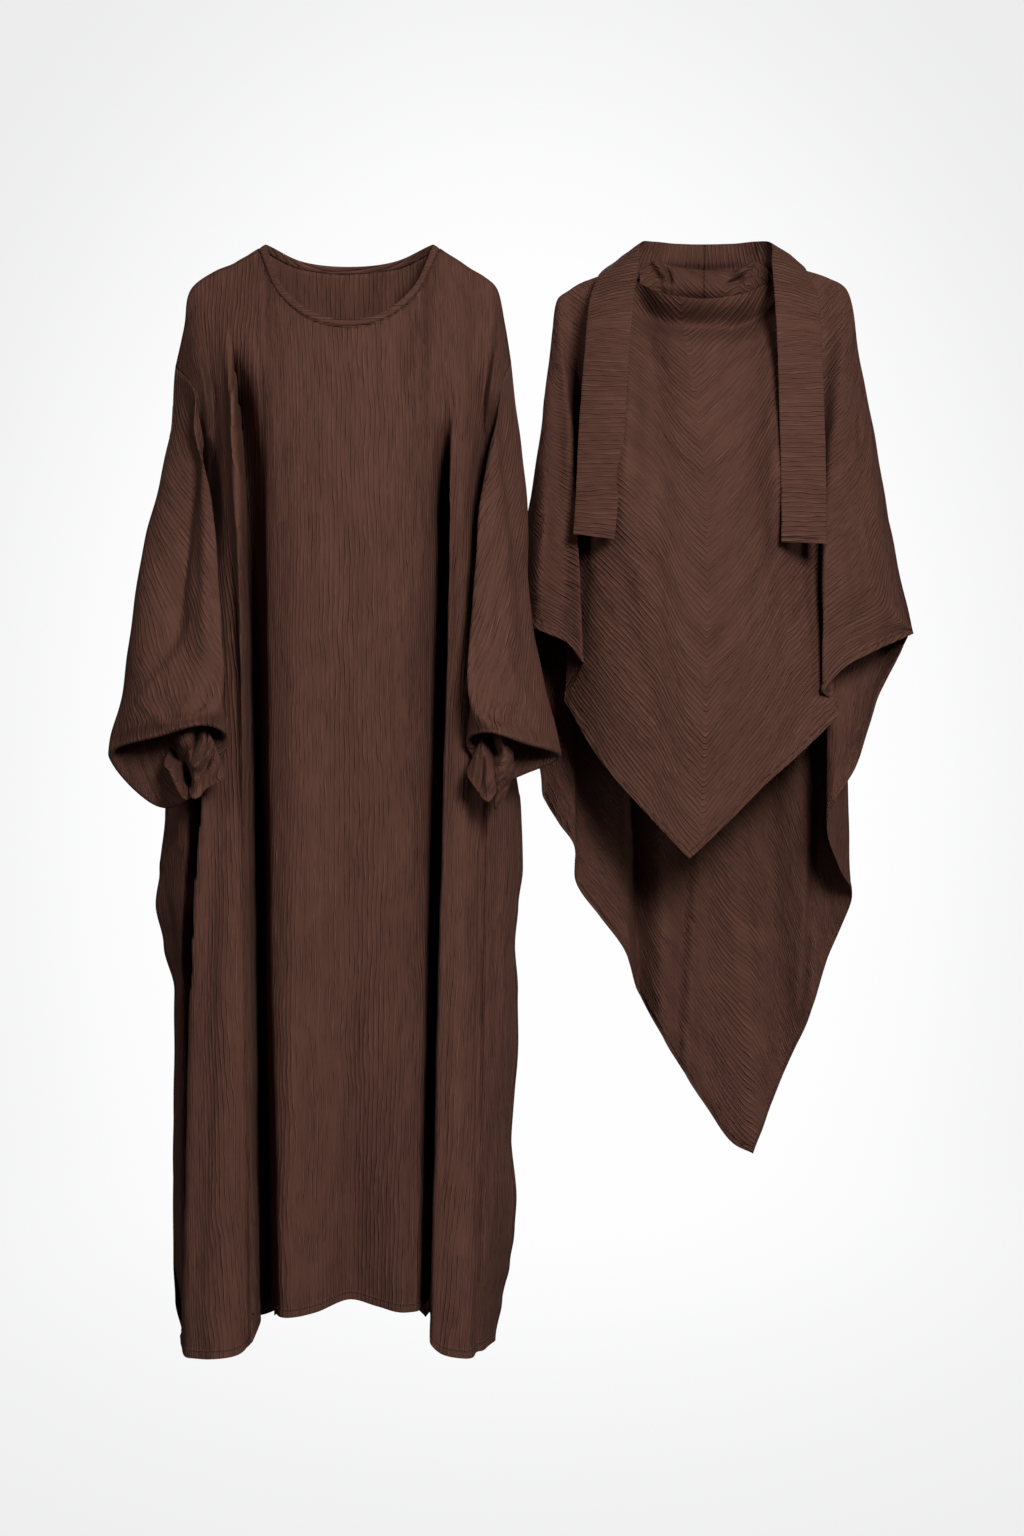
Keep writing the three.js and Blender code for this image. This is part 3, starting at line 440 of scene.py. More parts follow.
# %% [markdown]
# The dress's deep folds have an edge so sharp that the cloth behind it is in full shade. Such a pleat
# is a path with a drop on one side. It and the larger soft folds move the cloth straight to or from
# the viewer, so the outline in the photograph's view stays where it is.

# %% Pleats and larger folds
EDGE_WIDTH = 3.0
PLEAT_START = 120
PLEAT_END = 70
PLEAT_POINTS = 40


def pleat(seen, path, side, depth, reach, lip, edge_width=EDGE_WIDTH):
    """A fold with a hard edge along a steep path: beyond it, on one side, the cloth drops back at once
    and returns slowly. Just before it the cloth stands up in a lip."""
    path = np.asarray(path, float)
    path = spline(path, np.linspace(0, len(path) - 1, PLEAT_POINTS))
    height = seen[..., 1]
    edge = np.interp(-height, -path[:, 1], path[:, 0])
    beyond = (seen[..., 0] - edge) * side
    reach = np.interp(-height, -path[[0, -1], 1], reach)
    depth = np.interp(-height, -path[[0, -1], 1], depth)
    drop = smoothstep(beyond / edge_width) * (1 - smoothstep(beyond / reach))
    raised = lip[0] * np.exp(-((np.minimum(beyond, 0) / lip[1]) ** 2)) * (beyond < 0)
    ends = smoothstep((path[0, 1] - height) / PLEAT_START) * smoothstep((height - path[-1, 1]) / PLEAT_END)
    return (raised - depth * drop) * ends


def towards_viewer(grid, folds, pleats=()):
    """Larger folds, moved straight towards the front (or back, below zero)."""
    seen = elevation_of(grid)
    moved = grid.copy()
    for path, height, width in folds:
        moved[..., 1] -= crease(seen, path, height, width, FOLD_FADE) * MM
    for row in pleats:
        moved[..., 1] -= pleat(seen, *row) * MM
    return moved


print("beyond a pleat's edge the cloth drops within", EDGE_WIDTH, "mm")

# %% [markdown]
# A hem is the cloth turned up and sewn, so it is twice as thick and ends in a small step. The step is
# made on the sheet itself, from each point's distance to the edge.


# %% Hems
HEM_RISE = 1.2 * MM
HEM_STEP = 1.6 * MM  # the width over which the turned-up cloth ends
HEM_PULL = 0.5 * MM
STITCH_LINE = 8.6 * MM
STITCH_PULL = 1.2 * MM  # the width that the stitches pull in
SLIT_TOP = -700
NO_SEAM = 50 * MM  # so far from any seam that none of its shade shows


def hem_rise(distance):
    """The doubled cloth, pulled in a little along its row of stitches."""
    inside = smoothstep((HEM_WIDTH + 0.5 * HEM_STEP - distance) / HEM_STEP)
    pulled = np.exp(-(((distance - STITCH_LINE) / STITCH_PULL) ** 2))
    return HEM_RISE * inside - HEM_PULL * pulled


def from_hem(grid):
    run = lengths_along(grid, axis=1)
    return run[:, -1:] - run


def from_side(grid, side):
    run = lengths_along(grid, axis=0)
    return run if side == "left" else run[-1:] - run


print("the hem stands out", hem_rise(np.array([0.0]))[0] / MM, "mm")

# %% [markdown]
# ## From a grid to a piece
#
# Blender's own grid operator makes the sheet, already joined and with a UV map; the script only moves
# its points. The UVs are then set to real lengths, in metres across and down the cloth, so the crinkle
# keeps its size on every panel. A panel with deep pleats is measured before they are pushed in, which
# keeps the grain straight beside them. Solidify gives the sheet the crepe's thickness, inwards.

# %% Make a piece
CLOTH_THICKNESS = 0.9 * MM
MERGE_DISTANCE = 0.01 * MM


def cloth_lengths(grid):
    """UVs in metres: across from the middle column, and down from the sheet's own top edge."""
    across = lengths_along(grid, axis=0)
    across = across - across[grid.shape[0] // 2]
    down = lengths_along(grid, axis=1) - grid[:, :1, 2]
    return np.stack([across, -down], axis=-1)


def object_of(name, bm):
    """A bmesh as a smooth object in the scene."""
    mesh = bpy.data.meshes.new(name)
    bm.to_mesh(mesh)
    bm.free()
    mesh.shade_smooth()
    thing = bpy.data.objects.new(name, mesh)
    bpy.context.scene.collection.objects.link(thing)
    return thing


def cloth_piece(
    name, grid, material, node, uv=None, closed=False, flip=False, thickness=CLOTH_THICKNESS,
    from_seam=NO_SEAM,
):
    """A sheet of cloth that stands for its CAD node. grid[i, j] is its point in column i and row j."""
    columns, rows = grid.shape[0] - 1, grid.shape[1] - 1
    uv = cloth_lengths(grid) if uv is None else uv
    from_seam = np.broadcast_to(from_seam, grid.shape[:2])
    bm = bmesh.new()
    layer = bm.loops.layers.uv.new("cloth")
    seam_layer = bm.verts.layers.float.new("from_seam")
    bmesh.ops.create_grid(bm, x_segments=columns, y_segments=rows, size=0.5, calc_uvs=True)
    for face in bm.faces:
        for loop in face.loops:
            i = round((loop.vert.co.x + 0.5) * columns)
            j = round((loop.vert.co.y + 0.5) * rows)
            loop[layer].uv = uv[i, j]
    for vert in bm.verts:
        i = round((vert.co.x + 0.5) * columns)
        j = round((vert.co.y + 0.5) * rows)
        vert.co = grid[i, j]
        vert[seam_layer] = from_seam[i, j]
    if closed:
        bmesh.ops.remove_doubles(bm, verts=bm.verts, dist=MERGE_DISTANCE)
    if flip:
        bmesh.ops.reverse_faces(bm, faces=bm.faces)
    piece = object_of(name, bm)
    piece.data.materials.append(material)
    if thickness:
        wall = piece.modifiers.new("cloth thickness", "SOLIDIFY")
        wall.thickness = thickness
        wall.offset = -1
    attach(piece, "root")
    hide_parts(node)
    return piece


# %% [markdown]
# ## The crepe
#
# Crepe is woven from hard-twisted yarn that shrinks unevenly when it is washed. That leaves a fine
# pebble and, on this cloth, long crinkles along the grain, about 5 mm apart. The yarn is matt, with a
# faint sheen at glancing angles. Every panel shares the recipe; only the grain's direction differs.
# Its colour also holds painted light: a painted highlight on the crinkle's ridges, and painted shade in
# its hollows, in the dips of its broad waves and along stitch lines and seams.

# %% Nodes for cloth


def linear(hex_colour):
    """An sRGB hex colour as the linear values that Blender works in."""
    parts = [int(hex_colour[k : k + 2], 16) / 255 for k in (1, 3, 5)]
    return tuple(c / 12.92 if c <= 0.04045 else ((c + 0.055) / 1.055) ** 2.4 for c in parts) + (1.0,)


def add_node(tree, kind, settings=None, links=None):
    """Adds a node, sets its values and sockets, and links {socket: (node, output)} into it."""
    node = tree.nodes.new(kind)
    for key, value in (settings or {}).items():
        if isinstance(key, int) or key in node.inputs:
            node.inputs[key].default_value = value
        else:
            setattr(node, key, value)
    for socket, (source, output) in (links or {}).items():
        tree.links.new(source.outputs[output], node.inputs[socket])
    return node


print("mid grey in linear light:", round(linear("#808080")[0], 3))

# %% The crepe's sizes and colours
CRINKLE_SPACING = 6 * MM  # drawn a little coarser than the real 5 mm, so that the render shows it
CRINKLE_LENGTH = 34 * MM
FINE_SPACING = 3.2 * MM
FINE_LENGTH = 14 * MM
SWAY = 17 * MM
SWAY_LENGTH = 150 * MM
WAVE_SPACING = 34 * MM
WAVE_LENGTH = 120 * MM
PEBBLE = 1.5 * MM
CRINKLE_WAVER = 3.2  # how far the stripes bend, in stripes
FINE_WAVER = 5.0
CRINKLE_HEIGHT = 2.3 * MM
FINE_HEIGHT = 0.35 * MM
WAVE_HEIGHT = 4 * MM
PEBBLE_HEIGHT = 0.3 * MM
SEAM_DEPTH = 0.8 * MM
SEAM_SHADE = 1.5 * MM
TURN_PER_BAND = 2 * np.pi / 20  # the wave texture makes 20 / (2 pi) bands a unit
BROWN = "#593a30"
# painted shade: the colour of the crinkle's hollows and of the dips in its broad waves
PAINTED_SHADE_BROWN = "#472c23"
# painted highlight: the colour of the crinkle's ridges
PAINTED_HIGHLIGHT_BROWN = "#6f4c3f"
# painted shade along stitch lines and seams
SEAM_SHADOW_BROWN = "#2a1813"
SHEEN_BROWN = "#a87d6c"
print("in linear light the brown is", [round(c, 3) for c in linear(BROWN)])

# %% The crepe


def crepe(name, grain_degrees, plain=0.3):
    """Matt crepe: UVs in metres are turned so that V runs along the grain. Its plainest places keep
    this share of the crinkle."""
    material = bpy.data.materials.new(name)
    material.use_nodes = True
    tree = material.node_tree
    tree.nodes.clear()
    uv = add_node(tree, "ShaderNodeUVMap", {"uv_map": "cloth"})
    grain = add_node(
        tree, "ShaderNodeMapping", {"Rotation": (0, 0, np.radians(grain_degrees))}, {"Vector": (uv, "UV")}
    )
    # The cloth was washed and wrung, so its grain wanders.
    swaying = add_node(
        tree, "ShaderNodeTexNoise", {"Scale": 1 / SWAY_LENGTH, "Detail": 1.5}, {"Vector": (uv, "UV")}
    )
    bent = add_node(
        tree,
        "ShaderNodeVectorMath",
        {"operation": "MULTIPLY_ADD", 1: (SWAY, SWAY, 0)},
        {0: (swaying, "Color"), 2: (grain, "Vector")},
    )

    def cells(width, length):
        """Places on the cloth, counted in cells this wide across the grain and this long down it."""
        return add_node(
            tree, "ShaderNodeMapping", {"Scale": (1 / width, 1 / length, 1)}, {"Vector": (bent, "Vector")}
        )

    def bands(width, length, distortion):
        """Wavering stripes along the grain, this far apart."""
        return add_node(
            tree,
            "ShaderNodeTexWave",
            {
                "bands_direction": "X",
                "Scale": TURN_PER_BAND,
                "Distortion": distortion,
                "Detail": 2.0,
                "Detail Scale": 2.6,
            },
            {"Vector": (cells(width, length), "Vector")},
        )

    def noise(width, length, detail):
        place_in_cell = {"Vector": (cells(width, length), "Vector")}
        return add_node(tree, "ShaderNodeTexNoise", {"Scale": 1.0, "Detail": detail}, place_in_cell)

    def ramp(source, low, high, to_low=0.0, to_high=1.0):
        """A smooth step of a value, from one level to another."""
        return add_node(
            tree,
            "ShaderNodeMapRange",
            {
                "interpolation_type": "SMOOTHSTEP",
                "From Min": low,
                "From Max": high,
                "To Min": to_low,
                "To Max": to_high,
            },
            {"Value": source},
        )

    def math(operation, first, second):
        """first and second are values or (node, output) pairs."""
        values = {k: v for k, v in enumerate((first, second)) if not isinstance(v, tuple)}
        links = {k: v for k, v in enumerate((first, second)) if isinstance(v, tuple)}
        return add_node(tree, "ShaderNodeMath", {"operation": operation, **values}, links), "Value"

    crinkle = bands(CRINKLE_SPACING, CRINKLE_LENGTH, CRINKLE_WAVER)
    fine = bands(FINE_SPACING, FINE_LENGTH, FINE_WAVER)
    patch = noise(2.2 * CRINKLE_SPACING, 1.3 * CRINKLE_LENGTH, 1.0)
    wave = noise(WAVE_SPACING, WAVE_LENGTH, 1.0)
    pebble = add_node(
        tree, "ShaderNodeTexNoise", {"Scale": 1 / PEBBLE, "Detail": 1.0}, {"Vector": (uv, "UV")}
    )
    seam = add_node(tree, "ShaderNodeAttribute", {"attribute_name": "from_seam"})
    some = ramp((patch, "Fac"), 0.4, 0.62, plain, 1.0), "Result"
    # raised lifts the crinkle's ridges in the bump and is also their painted highlight in the colour
    raised = math("MULTIPLY", (ramp((crinkle, "Fac"), 0.5, 1.0), "Result"), some)
    # hollow is painted shade: it darkens the crinkle's hollows in the colour only
    hollow = math("MULTIPLY", (ramp((crinkle, "Fac"), 0.3, 0.0), "Result"), some)
    # Painted shade: the broad waves are darker in colour where their bump is low
    painted_wave_shade = ramp((wave, "Fac"), 0.25, 0.75, 0.55, 1.0), "Result"
    # sewn is painted shade along the stitch lines and seams, where the thread pulls the cloth in; it also
    # presses the bump in
    sewn = ramp(math("ABSOLUTE", (seam, "Fac"), 0.0), 0.3 * SEAM_SHADE, SEAM_SHADE, 1.0, 0.0), "Result"

    def blend(share, below, above):
        """below and above are colours or links."""
        settings = {"data_type": "RGBA"}
        links = {"Factor": share}
        for key, value in (("A", below), ("B", above)):
            (links if isinstance(value, tuple) and len(value) == 2 else settings)[key] = value
        return add_node(tree, "ShaderNodeMix", settings, links), "Result"

    # Painted shade in the dips of the broad waves
    colour = blend(painted_wave_shade, linear(PAINTED_SHADE_BROWN), linear(BROWN))
    # Painted shade in the crinkle's hollows
    colour = blend(math("MULTIPLY", hollow, 0.5), colour, linear(PAINTED_SHADE_BROWN))
    # Painted highlight on the crinkle's ridges
    colour = blend(math("MULTIPLY", raised, 0.4), colour, linear(PAINTED_HIGHLIGHT_BROWN))
    # Painted shade along the stitch lines and seams
    colour = blend(math("MULTIPLY", sewn, 0.55), colour, linear(SEAM_SHADOW_BROWN))
    bumps = None
    for height, depth, strength in (
        ((pebble, "Fac"), PEBBLE_HEIGHT, 0.6),
        ((fine, "Fac"), FINE_HEIGHT, 0.7),
        ((wave, "Fac"), WAVE_HEIGHT, 0.6),
        (raised, CRINKLE_HEIGHT, 1.0),
        (math("SUBTRACT", 0.0, sewn), SEAM_DEPTH, 1.0),
    ):
        links = {"Height": height}
        if bumps:
            links["Normal"] = (bumps, "Normal")
        bumps = add_node(tree, "ShaderNodeBump", {"Strength": strength, "Distance": depth}, links)
    shader = add_node(
        tree,
        "ShaderNodeBsdfPrincipled",
        {
            "Roughness": 0.85,
            "Specular IOR Level": 0.15,
            "Sheen Weight": 0.03,
            "Sheen Roughness": 0.6,
            "Sheen Tint": linear(SHEEN_BROWN),
        },
        {"Base Color": colour, "Normal": (bumps, "Normal")},
    )
    add_node(tree, "ShaderNodeOutputMaterial", links={"Surface": (shader, "BSDF")})
    return material


CREPE = crepe("crepe, grain down", 0)
CREPE_SLEEVE_LEFT = crepe("crepe, left sleeve", -32)
CREPE_SLEEVE_RIGHT = crepe("crepe, right sleeve", -22)
CREPE_BIAS = crepe("crepe, cut on the bias", -48, plain=0.45)
CREPE_TRIM = crepe("crepe, grain across", 90, plain=0.75)
print("five cuts of one crepe")

# %% [markdown]
# ## The dress's front and back
#
# Each is one wide panel. The long shallow waves of the middle panel, the pull from the neck and the
# creases beside the arms are laid on one by one.

# %% The dress's front
FRONT_CREASES = [
    ([(56, -190), (66, -700), (60, -1300)], -4.0, 13),
    ([(20, -260), (14, -800), (24, -1330)], 2.4, 20),
    ([(-66, -230), (-72, -760), (-62, -1330)], 2.6, 18),
    ([(-30, -420), (-40, -900), (-28, -1320)], -2.8, 16),
    ([(-150, -60), (-140, -190), (-133, -420)], 2.2, 12),
    ([(120, -60), (112, -190), (118, -430)], -2.6, 12),
    ([(-110, -70), (-112, -200), (-112, -380)], -3.2, 11),
    ([(84, -120), (90, -260), (92, -430)], 2.0, 12),
    ([(-92, -64), (-64, -150), (-52, -300)], 1.6, 10),
    ([(96, -60), (66, -150), (48, -290)], -1.8, 10),
    ([(-186, -780), (-176, -1020), (-188, -1330)], -2.6, 10),
    ([(-150, -700), (-158, -1000), (-150, -1360)], 2.2, 12),
    ([(136, -620), (134, -960), (140, -1340)], 2.2, 9),
    ([(158, -640), (160, -980), (150, -1340)], -2.4, 8),
    ([(-234, -724), (-219, -732), (-211, -749), (-215, -764), (-228, -781), (-237, -810)], 6.0, 5),
    ([(-238, -823), (-228, -851), (-224, -887), (-206, -980)], -4.0, 4),
    ([(-104, -330), (-98, -700), (-96, -1200)], 3.0, 10),
]
# Each pleat: its edge, the side it drops on, its depth and its reach at top and bottom, and the
# height and width of its lip.
FRONT_PLEATS = [
    (
        [(-154, -100), (-140, -326), (-133, -506), (-128, -710), (-124, -966), (-119, -1480)],
        1, (80, 130), (34, 34), (25, 7),
    ),
    (
        [(132, -210), (128, -480), (122, -710), (112, -1094), (104, -1480)],
        -1, (105, 105), (22, 18), (24, 7),
    ),
    (
        [(-181, -560), (-186, -710), (-195, -838), (-201, -992), (-207, -1222), (-213, -1480)],
        -1, (100, 70), (20, 15), (28, 13),
    ),
    (
        [(170, -620), (167, -800), (163, -1094), (160, -1480)],
        1, (20, 24), (14, 16), (3, 8),
    ),
    (
        [(206, -700), (214, -780), (212, -870), (206, -1000), (206, -1200), (194, -1300), (182, -1460)],
        1, (6, 6), (8, 8), (0, 8),
    ),
]
FRONT_FOLDS = [
    ([(200, -690), (209, -780), (207, -1000), (206, -1230), (196, -1410)], 48.0, 18),
]
PANEL_COLUMNS = 230
PANEL_ROWS = 205


def dress_panel(node, lines, folds, pleats, creases, turn, outward):
    """outward is -1 on the front and 1 on the back. The turn makes each panel's swell its own."""
    left, right = DRESS_SHOULDER_ROWS
    grid = panel(lines, PANEL_COLUMNS, PANEL_ROWS, (left, len(lines) - 1 - right))
    uv = cloth_lengths(grid)
    grid = towards_viewer(grid, folds, pleats)
    grid = creased(
        grid, normals_of(grid) * outward, creases, swell_height=0.8, swell_length=110, turn=turn
    )
    side = np.minimum(from_side(grid, "left"), from_side(grid, "right"))
    below_arm = elevation_of(grid)[..., 1] < SLIT_TOP
    rise = np.maximum(hem_rise(from_hem(grid)), np.where(below_arm, hem_rise(side), -HEM_PULL))
    grid = grid + (normals_of(grid) * outward) * rise[..., None]
    # Where the crepe paints its seam shade: along the stitch lines of the hem and the slits.
    edge = np.minimum(from_hem(grid), np.where(below_arm, side, NO_SEAM))
    piece = cloth_piece(
        f"{node}_cloth", grid, CREPE, node, uv, flip=outward < 0, from_seam=edge - STITCH_LINE
    )
    return piece, grid


dress_front, front_grid = dress_panel(
    "dress_front", front_lines, FRONT_FOLDS, FRONT_PLEATS, FRONT_CREASES, turn=0.0, outward=-1
)
print("the front:", len(dress_front.data.polygons), "faces")

# %% The dress's back
BACK_PLEATS = [
    ([(-104, -480), (-98, -800), (-94, -1480)], 1, (-40, -50), (18, 26), (-3, 9)),
    ([(112, -480), (106, -800), (104, -1480)], -1, (-40, -50), (18, 26), (-3, 9)),
]
BACK_CREASES = [
    ([(-60, -120), (-48, -600), (-52, -1290)], 2.5, 18),
    ([(0, -160), (6, -700), (-2, -1300)], -3.0, 16),
    ([(70, -110), (58, -560), (66, -1280)], 2.2, 18),
    ([(-140, -80), (-128, -260), (-130, -520)], -2.4, 12),
    ([(130, -90), (122, -300), (126, -560)], 2.0, 12),
    ([(-104, -420), (-96, -840), (-92, -1330)], -3.4, 12),
    ([(104, -420), (98, -860), (92, -1330)], -3.4, 12),
]
dress_back, back_grid = dress_panel(
    "dress_back", back_lines, [], BACK_PLEATS, BACK_CREASES, turn=0.7, outward=1
)
print("the back:", len(dress_back.data.polygons), "faces")

# %% [markdown]
# ## The sleeves
#
# Each hangs from its armhole as a wide tube, longer than the arm, so its end blouses over the cuff.
# The armhole's ring is read from the dress's own side edges, so the sleeve starts where they end.

# %% The sleeves' sections
SLEEVE_SECTIONS = {
    "left": [
        [
            (-250, -15, -326), (-221, -78, -326), (-175, -94, -326),
            (-197, -22, -330), (-212, 24, -330), (-238, 20, -326),
        ],
        [
            (-271, -35, -454), (-234, -102, -454), (-165, -118, -454),
            (-193, -58, -456), (-216, 4, -458), (-252, 0, -456),
        ],
        [
            (-288, -52, -570), (-253, -126, -570), (-160, -140, -566),
            (-190, -94, -572), (-220, -30, -580), (-264, -22, -576),
        ],
        [
            (-304, -66, -630), (-250, -144, -606), (-170, -158, -596),
            (-158, -106, -610), (-204, -62, -655), (-270, -36, -655),
        ],
        [
            (-307, -72, -652), (-241, -142, -625), (-183, -156, -612),
            (-152, -112, -631), (-190, -76, -692), (-241, -58, -717),
        ],
    ],
    "right": [
        [
            (230, -15, -326), (206, -76, -326), (171, -94, -326),
            (192, -22, -330), (198, 24, -330), (220, 20, -326),
        ],
        [
            (237, -40, -454), (205, -106, -454), (161, -118, -454),
            (180, -58, -456), (199, 2, -458), (224, -2, -456),
        ],
        [
            (254, -58, -570), (214, -130, -570), (154, -140, -566),
            (180, -94, -572), (204, -34, -576), (236, -30, -574),
        ],
        [
            (270, -70, -634), (222, -146, -612), (166, -158, -602),
            (156, -106, -612), (196, -62, -645), (240, -44, -648),
        ],
        [
            (273, -76, -653), (224, -146, -634), (180, -156, -621),
            (151, -112, -634), (188, -76, -684), (234, -66, -672),
        ],
    ],
}
SLEEVE_CREASES = {
    "left": [
        ([(-201, -130), (-209, -250), (-226, -430), (-233, -570)], -30.0, 24),
        ([(-190, -200), (-186, -400), (-180, -560)], 5.0, 9),
        ([(-254, -300), (-266, -450), (-270, -590)], 4.0, 14),
        ([(-216, -606), (-208, -590), (-196, -570)], 4.0, 4),
        ([(-206, -608), (-196, -594), (-180, -584)], -3.5, 4),
        ([(-226, -612), (-228, -596), (-234, -578)], -3.0, 5),
        ([(-236, -620), (-246, -600), (-262, -588)], 3.0, 6),
        ([(-196, -240), (-214, -420), (-232, -590)], 2.4, 10),
        ([(-188, -300), (-196, -450), (-206, -600)], -2.0, 8),
        ([(-300, -640), (-250, -560), (-190, -480)], 2.6, 9),
        ([(-285, -600), (-230, -500), (-182, -410)], -2.2, 9),
        ([(-200, -604), (-176, -560), (-166, -500)], -2.5, 7),
        ([(-240, -612), (-216, -585), (-196, -540)], 2.0, 6),
    ],
    "right": [
        ([(196, -130), (204, -260), (226, -430), (238, -600)], -8.0, 12),
        ([(190, -200), (184, -400), (176, -560)], 4.0, 9),
        ([(196, -618), (192, -598), (184, -580)], 4.0, 4),
        ([(208, -620), (212, -602), (214, -586)], -3.5, 4),
        ([(186, -616), (176, -600), (164, -590)], -3.0, 4),
        ([(196, -240), (200, -420), (206, -590)], 2.2, 9),
        ([(262, -640), (216, -560), (170, -500)], 2.4, 8),
        ([(246, -590), (204, -500), (172, -430)], -2.0, 8),
        ([(176, -612), (164, -560), (160, -490)], -2.2, 6),
        ([(230, -622), (206, -590), (184, -545)], 2.0, 6),
    ],
}
SLEEVE_AROUND = 132
SLEEVE_ROWS = 120
print("each sleeve has", len(SLEEVE_SECTIONS["left"]), "sections below its armhole")

# %% The sleeves
CUFF_MOUTH = {"left": (-192, -104, -598), "right": (188, -104, -604)}
MOUTH_HALF = (22, 14)
TURN_IN = np.array([9.0, 5.0]) * MM
RIM_ANGLES = (0.9, 1.8, 2.6)  # the three rows that round the sleeve's end inwards
RIM_DROP = 3.2 * MM
SLEEVE_EASE_ROWS = 12
FUNNEL_ROWS = 30
FUNNEL_HOLLOW = 2.5  # above 1 the turned-in cloth rises first and closes in later


def side_column(lines, which):
    """The side edge from the shoulder seam down to the underarm."""
    line = lines[0] if which == "left" else lines[-1]
    return line[: LINE_STEPS // 2 + 1 : 4]


def armhole(which, count):
    ring = np.concatenate([side_column(front_lines, which), side_column(back_lines, which)[-2:0:-1]])
    places = np.arange(count) / count * len(ring)
    whole = np.concatenate([ring, ring[:1]])
    return np.stack([np.interp(places, np.arange(len(whole)), whole[:, k]) for k in range(3)], axis=-1)


def mouth_ring(which, turns, scale=1.0):
    outward = -1 if which == "left" else 1
    angle = turns * 2 * np.pi
    centre = np.array(CUFF_MOUTH[which], float)
    x = centre[0] + outward * MOUTH_HALF[0] * scale * np.cos(angle)
    y = centre[1] - MOUTH_HALF[1] * scale * np.sin(angle)
    return place(np.stack([x, y, np.full_like(x, centre[2])], axis=-1))


def sleeve_grid(which):
    turns = np.arange(SLEEVE_AROUND) / SLEEVE_AROUND
    sections = [spline(place(s), turns * len(s), closed=True) for s in SLEEVE_SECTIONS[which]]
    rings = np.stack([armhole(which, SLEEVE_AROUND), *sections])
    at = np.linspace(0, len(rings) - 1, SLEEVE_ROWS + 1)
    outside = spline(rings, at)
    rim = outside[-1]
    mouth = mouth_ring(which, turns)
    inward = (mouth - rim) * [1, 1, 0]
    inward /= np.linalg.norm(inward, axis=-1, keepdims=True)
    turned = rim + inward * TURN_IN[0] + [0, 0, TURN_IN[1]]
    inside = []
    for angle in RIM_ANGLES:
        over = TURN_IN[0] * (1 - np.cos(angle)) * 0.5
        inside.append(rim + inward * over - [0, 0, RIM_DROP * np.sin(angle)])
    for t in np.linspace(0, 1, FUNNEL_ROWS):
        closing = t**FUNNEL_HOLLOW
        inside.append(mix(turned, mouth, np.array([closing, closing, t])))
    tube = np.concatenate([outside, np.stack(inside)])
    grid = np.transpose(tube, (1, 0, 2))
    return np.concatenate([grid, grid[:1]])


def sleeve(which, material):
    grid = sleeve_grid(which)
    outward = -1 if which == "left" else 1
    normals = normals_of(grid, closed=True) * outward
    moved = creased(
        grid, normals, SLEEVE_CREASES[which], swell_height=0.8, swell_length=80, turn=0.4
    )
    share = np.ones(grid.shape[1])  # none at the armhole and inside the mouth
    share[:SLEEVE_EASE_ROWS] = np.linspace(0, 1, SLEEVE_EASE_ROWS)
    share[SLEEVE_ROWS:] = 0
    grid = mix(grid, moved, share[None, :, None])
    node = f"dress_sleeve_{which}"
    piece = cloth_piece(f"{node}_cloth", grid, material, node, closed=True, flip=which == "left")
    return piece, grid


sleeve_left, sleeve_left_grid = sleeve("left", CREPE_SLEEVE_LEFT)
sleeve_right, sleeve_right_grid = sleeve("right", CREPE_SLEEVE_RIGHT)
print("a sleeve has", len(sleeve_left.data.polygons), "faces")

# %% [markdown]
# ## The cuffs
#
# The sleeve's end is gathered small and drawn up inside the blouse. What hangs out below is a bunch of
# soft, uneven lobes, so the bottom edge is drawn as a ring that folds back over itself.

# %% The cuffs
CUFF_BOTTOM = {
    "left": [
        (-236, -102, -664), (-230, -120, -672), (-222, -136, -690), (-212, -144, -706), (-205, -138, -710),
        (-206, -118, -700), (-212, -112, -690), (-210, -130, -686), (-206, -150, -698), (-198, -158, -708),
        (-190, -156, -706), (-182, -146, -696), (-172, -150, -690), (-160, -148, -683), (-157, -134, -672),
        (-172, -116, -664), (-204, -102, -660),
    ],
    "right": [
        (212, -102, -672), (208, -122, -690), (202, -138, -706), (194, -148, -716), (188, -140, -722),
        (188, -120, -712), (194, -112, -700), (192, -130, -694), (188, -150, -704), (180, -158, -712),
        (172, -154, -708), (166, -144, -698), (160, -150, -690), (154, -142, -682), (153, -128, -670),
        (166, -114, -662), (190, -102, -664),
    ],
}
CUFF_CREASES = {
    "left": [
        ([(-238, -612), (-226, -644), (-212, -676), (-199, -708)], -46.0, 8),
        ([(-207, -672), (-192, -664), (-176, -646)], 12.0, 5),
        ([(-168, -636), (-182, -664), (-201, -694)], -11.0, 4),
        ([(-208, -628), (-210, -664), (-204, -712)], -22.0, 5),
        ([(-190, -622), (-196, -640), (-208, -656)], -12.0, 6),
        ([(-236, -640), (-226, -668), (-218, -690)], -8.0, 5),
        ([(-228, -650), (-218, -672), (-212, -690)], 7.0, 4),
        ([(-164, -650), (-162, -668), (-170, -690)], 6.0, 5),
    ],
    "right": [
        ([(176, -616), (184, -642), (198, -664)], -32.0, 8),
        ([(174, -640), (172, -676), (170, -708)], -12.0, 4),
        ([(176, -706), (190, -686), (212, -674)], 9.0, 4),
        ([(188, -722), (199, -698), (216, -682)], -12.0, 4),
        ([(180, -650), (192, -668), (206, -664)], -10.0, 6),
        ([(160, -640), (165, -664), (160, -690)], 7.0, 5),
    ],
}
CUFF_BELLY = 0.62  # below 1 the cuff widens soon after it leaves the mouth
CUFF_TOP = 0.95  # so that its top fits inside the sleeve's mouth
CUFF_AROUND = 200
CUFF_ROWS = 60


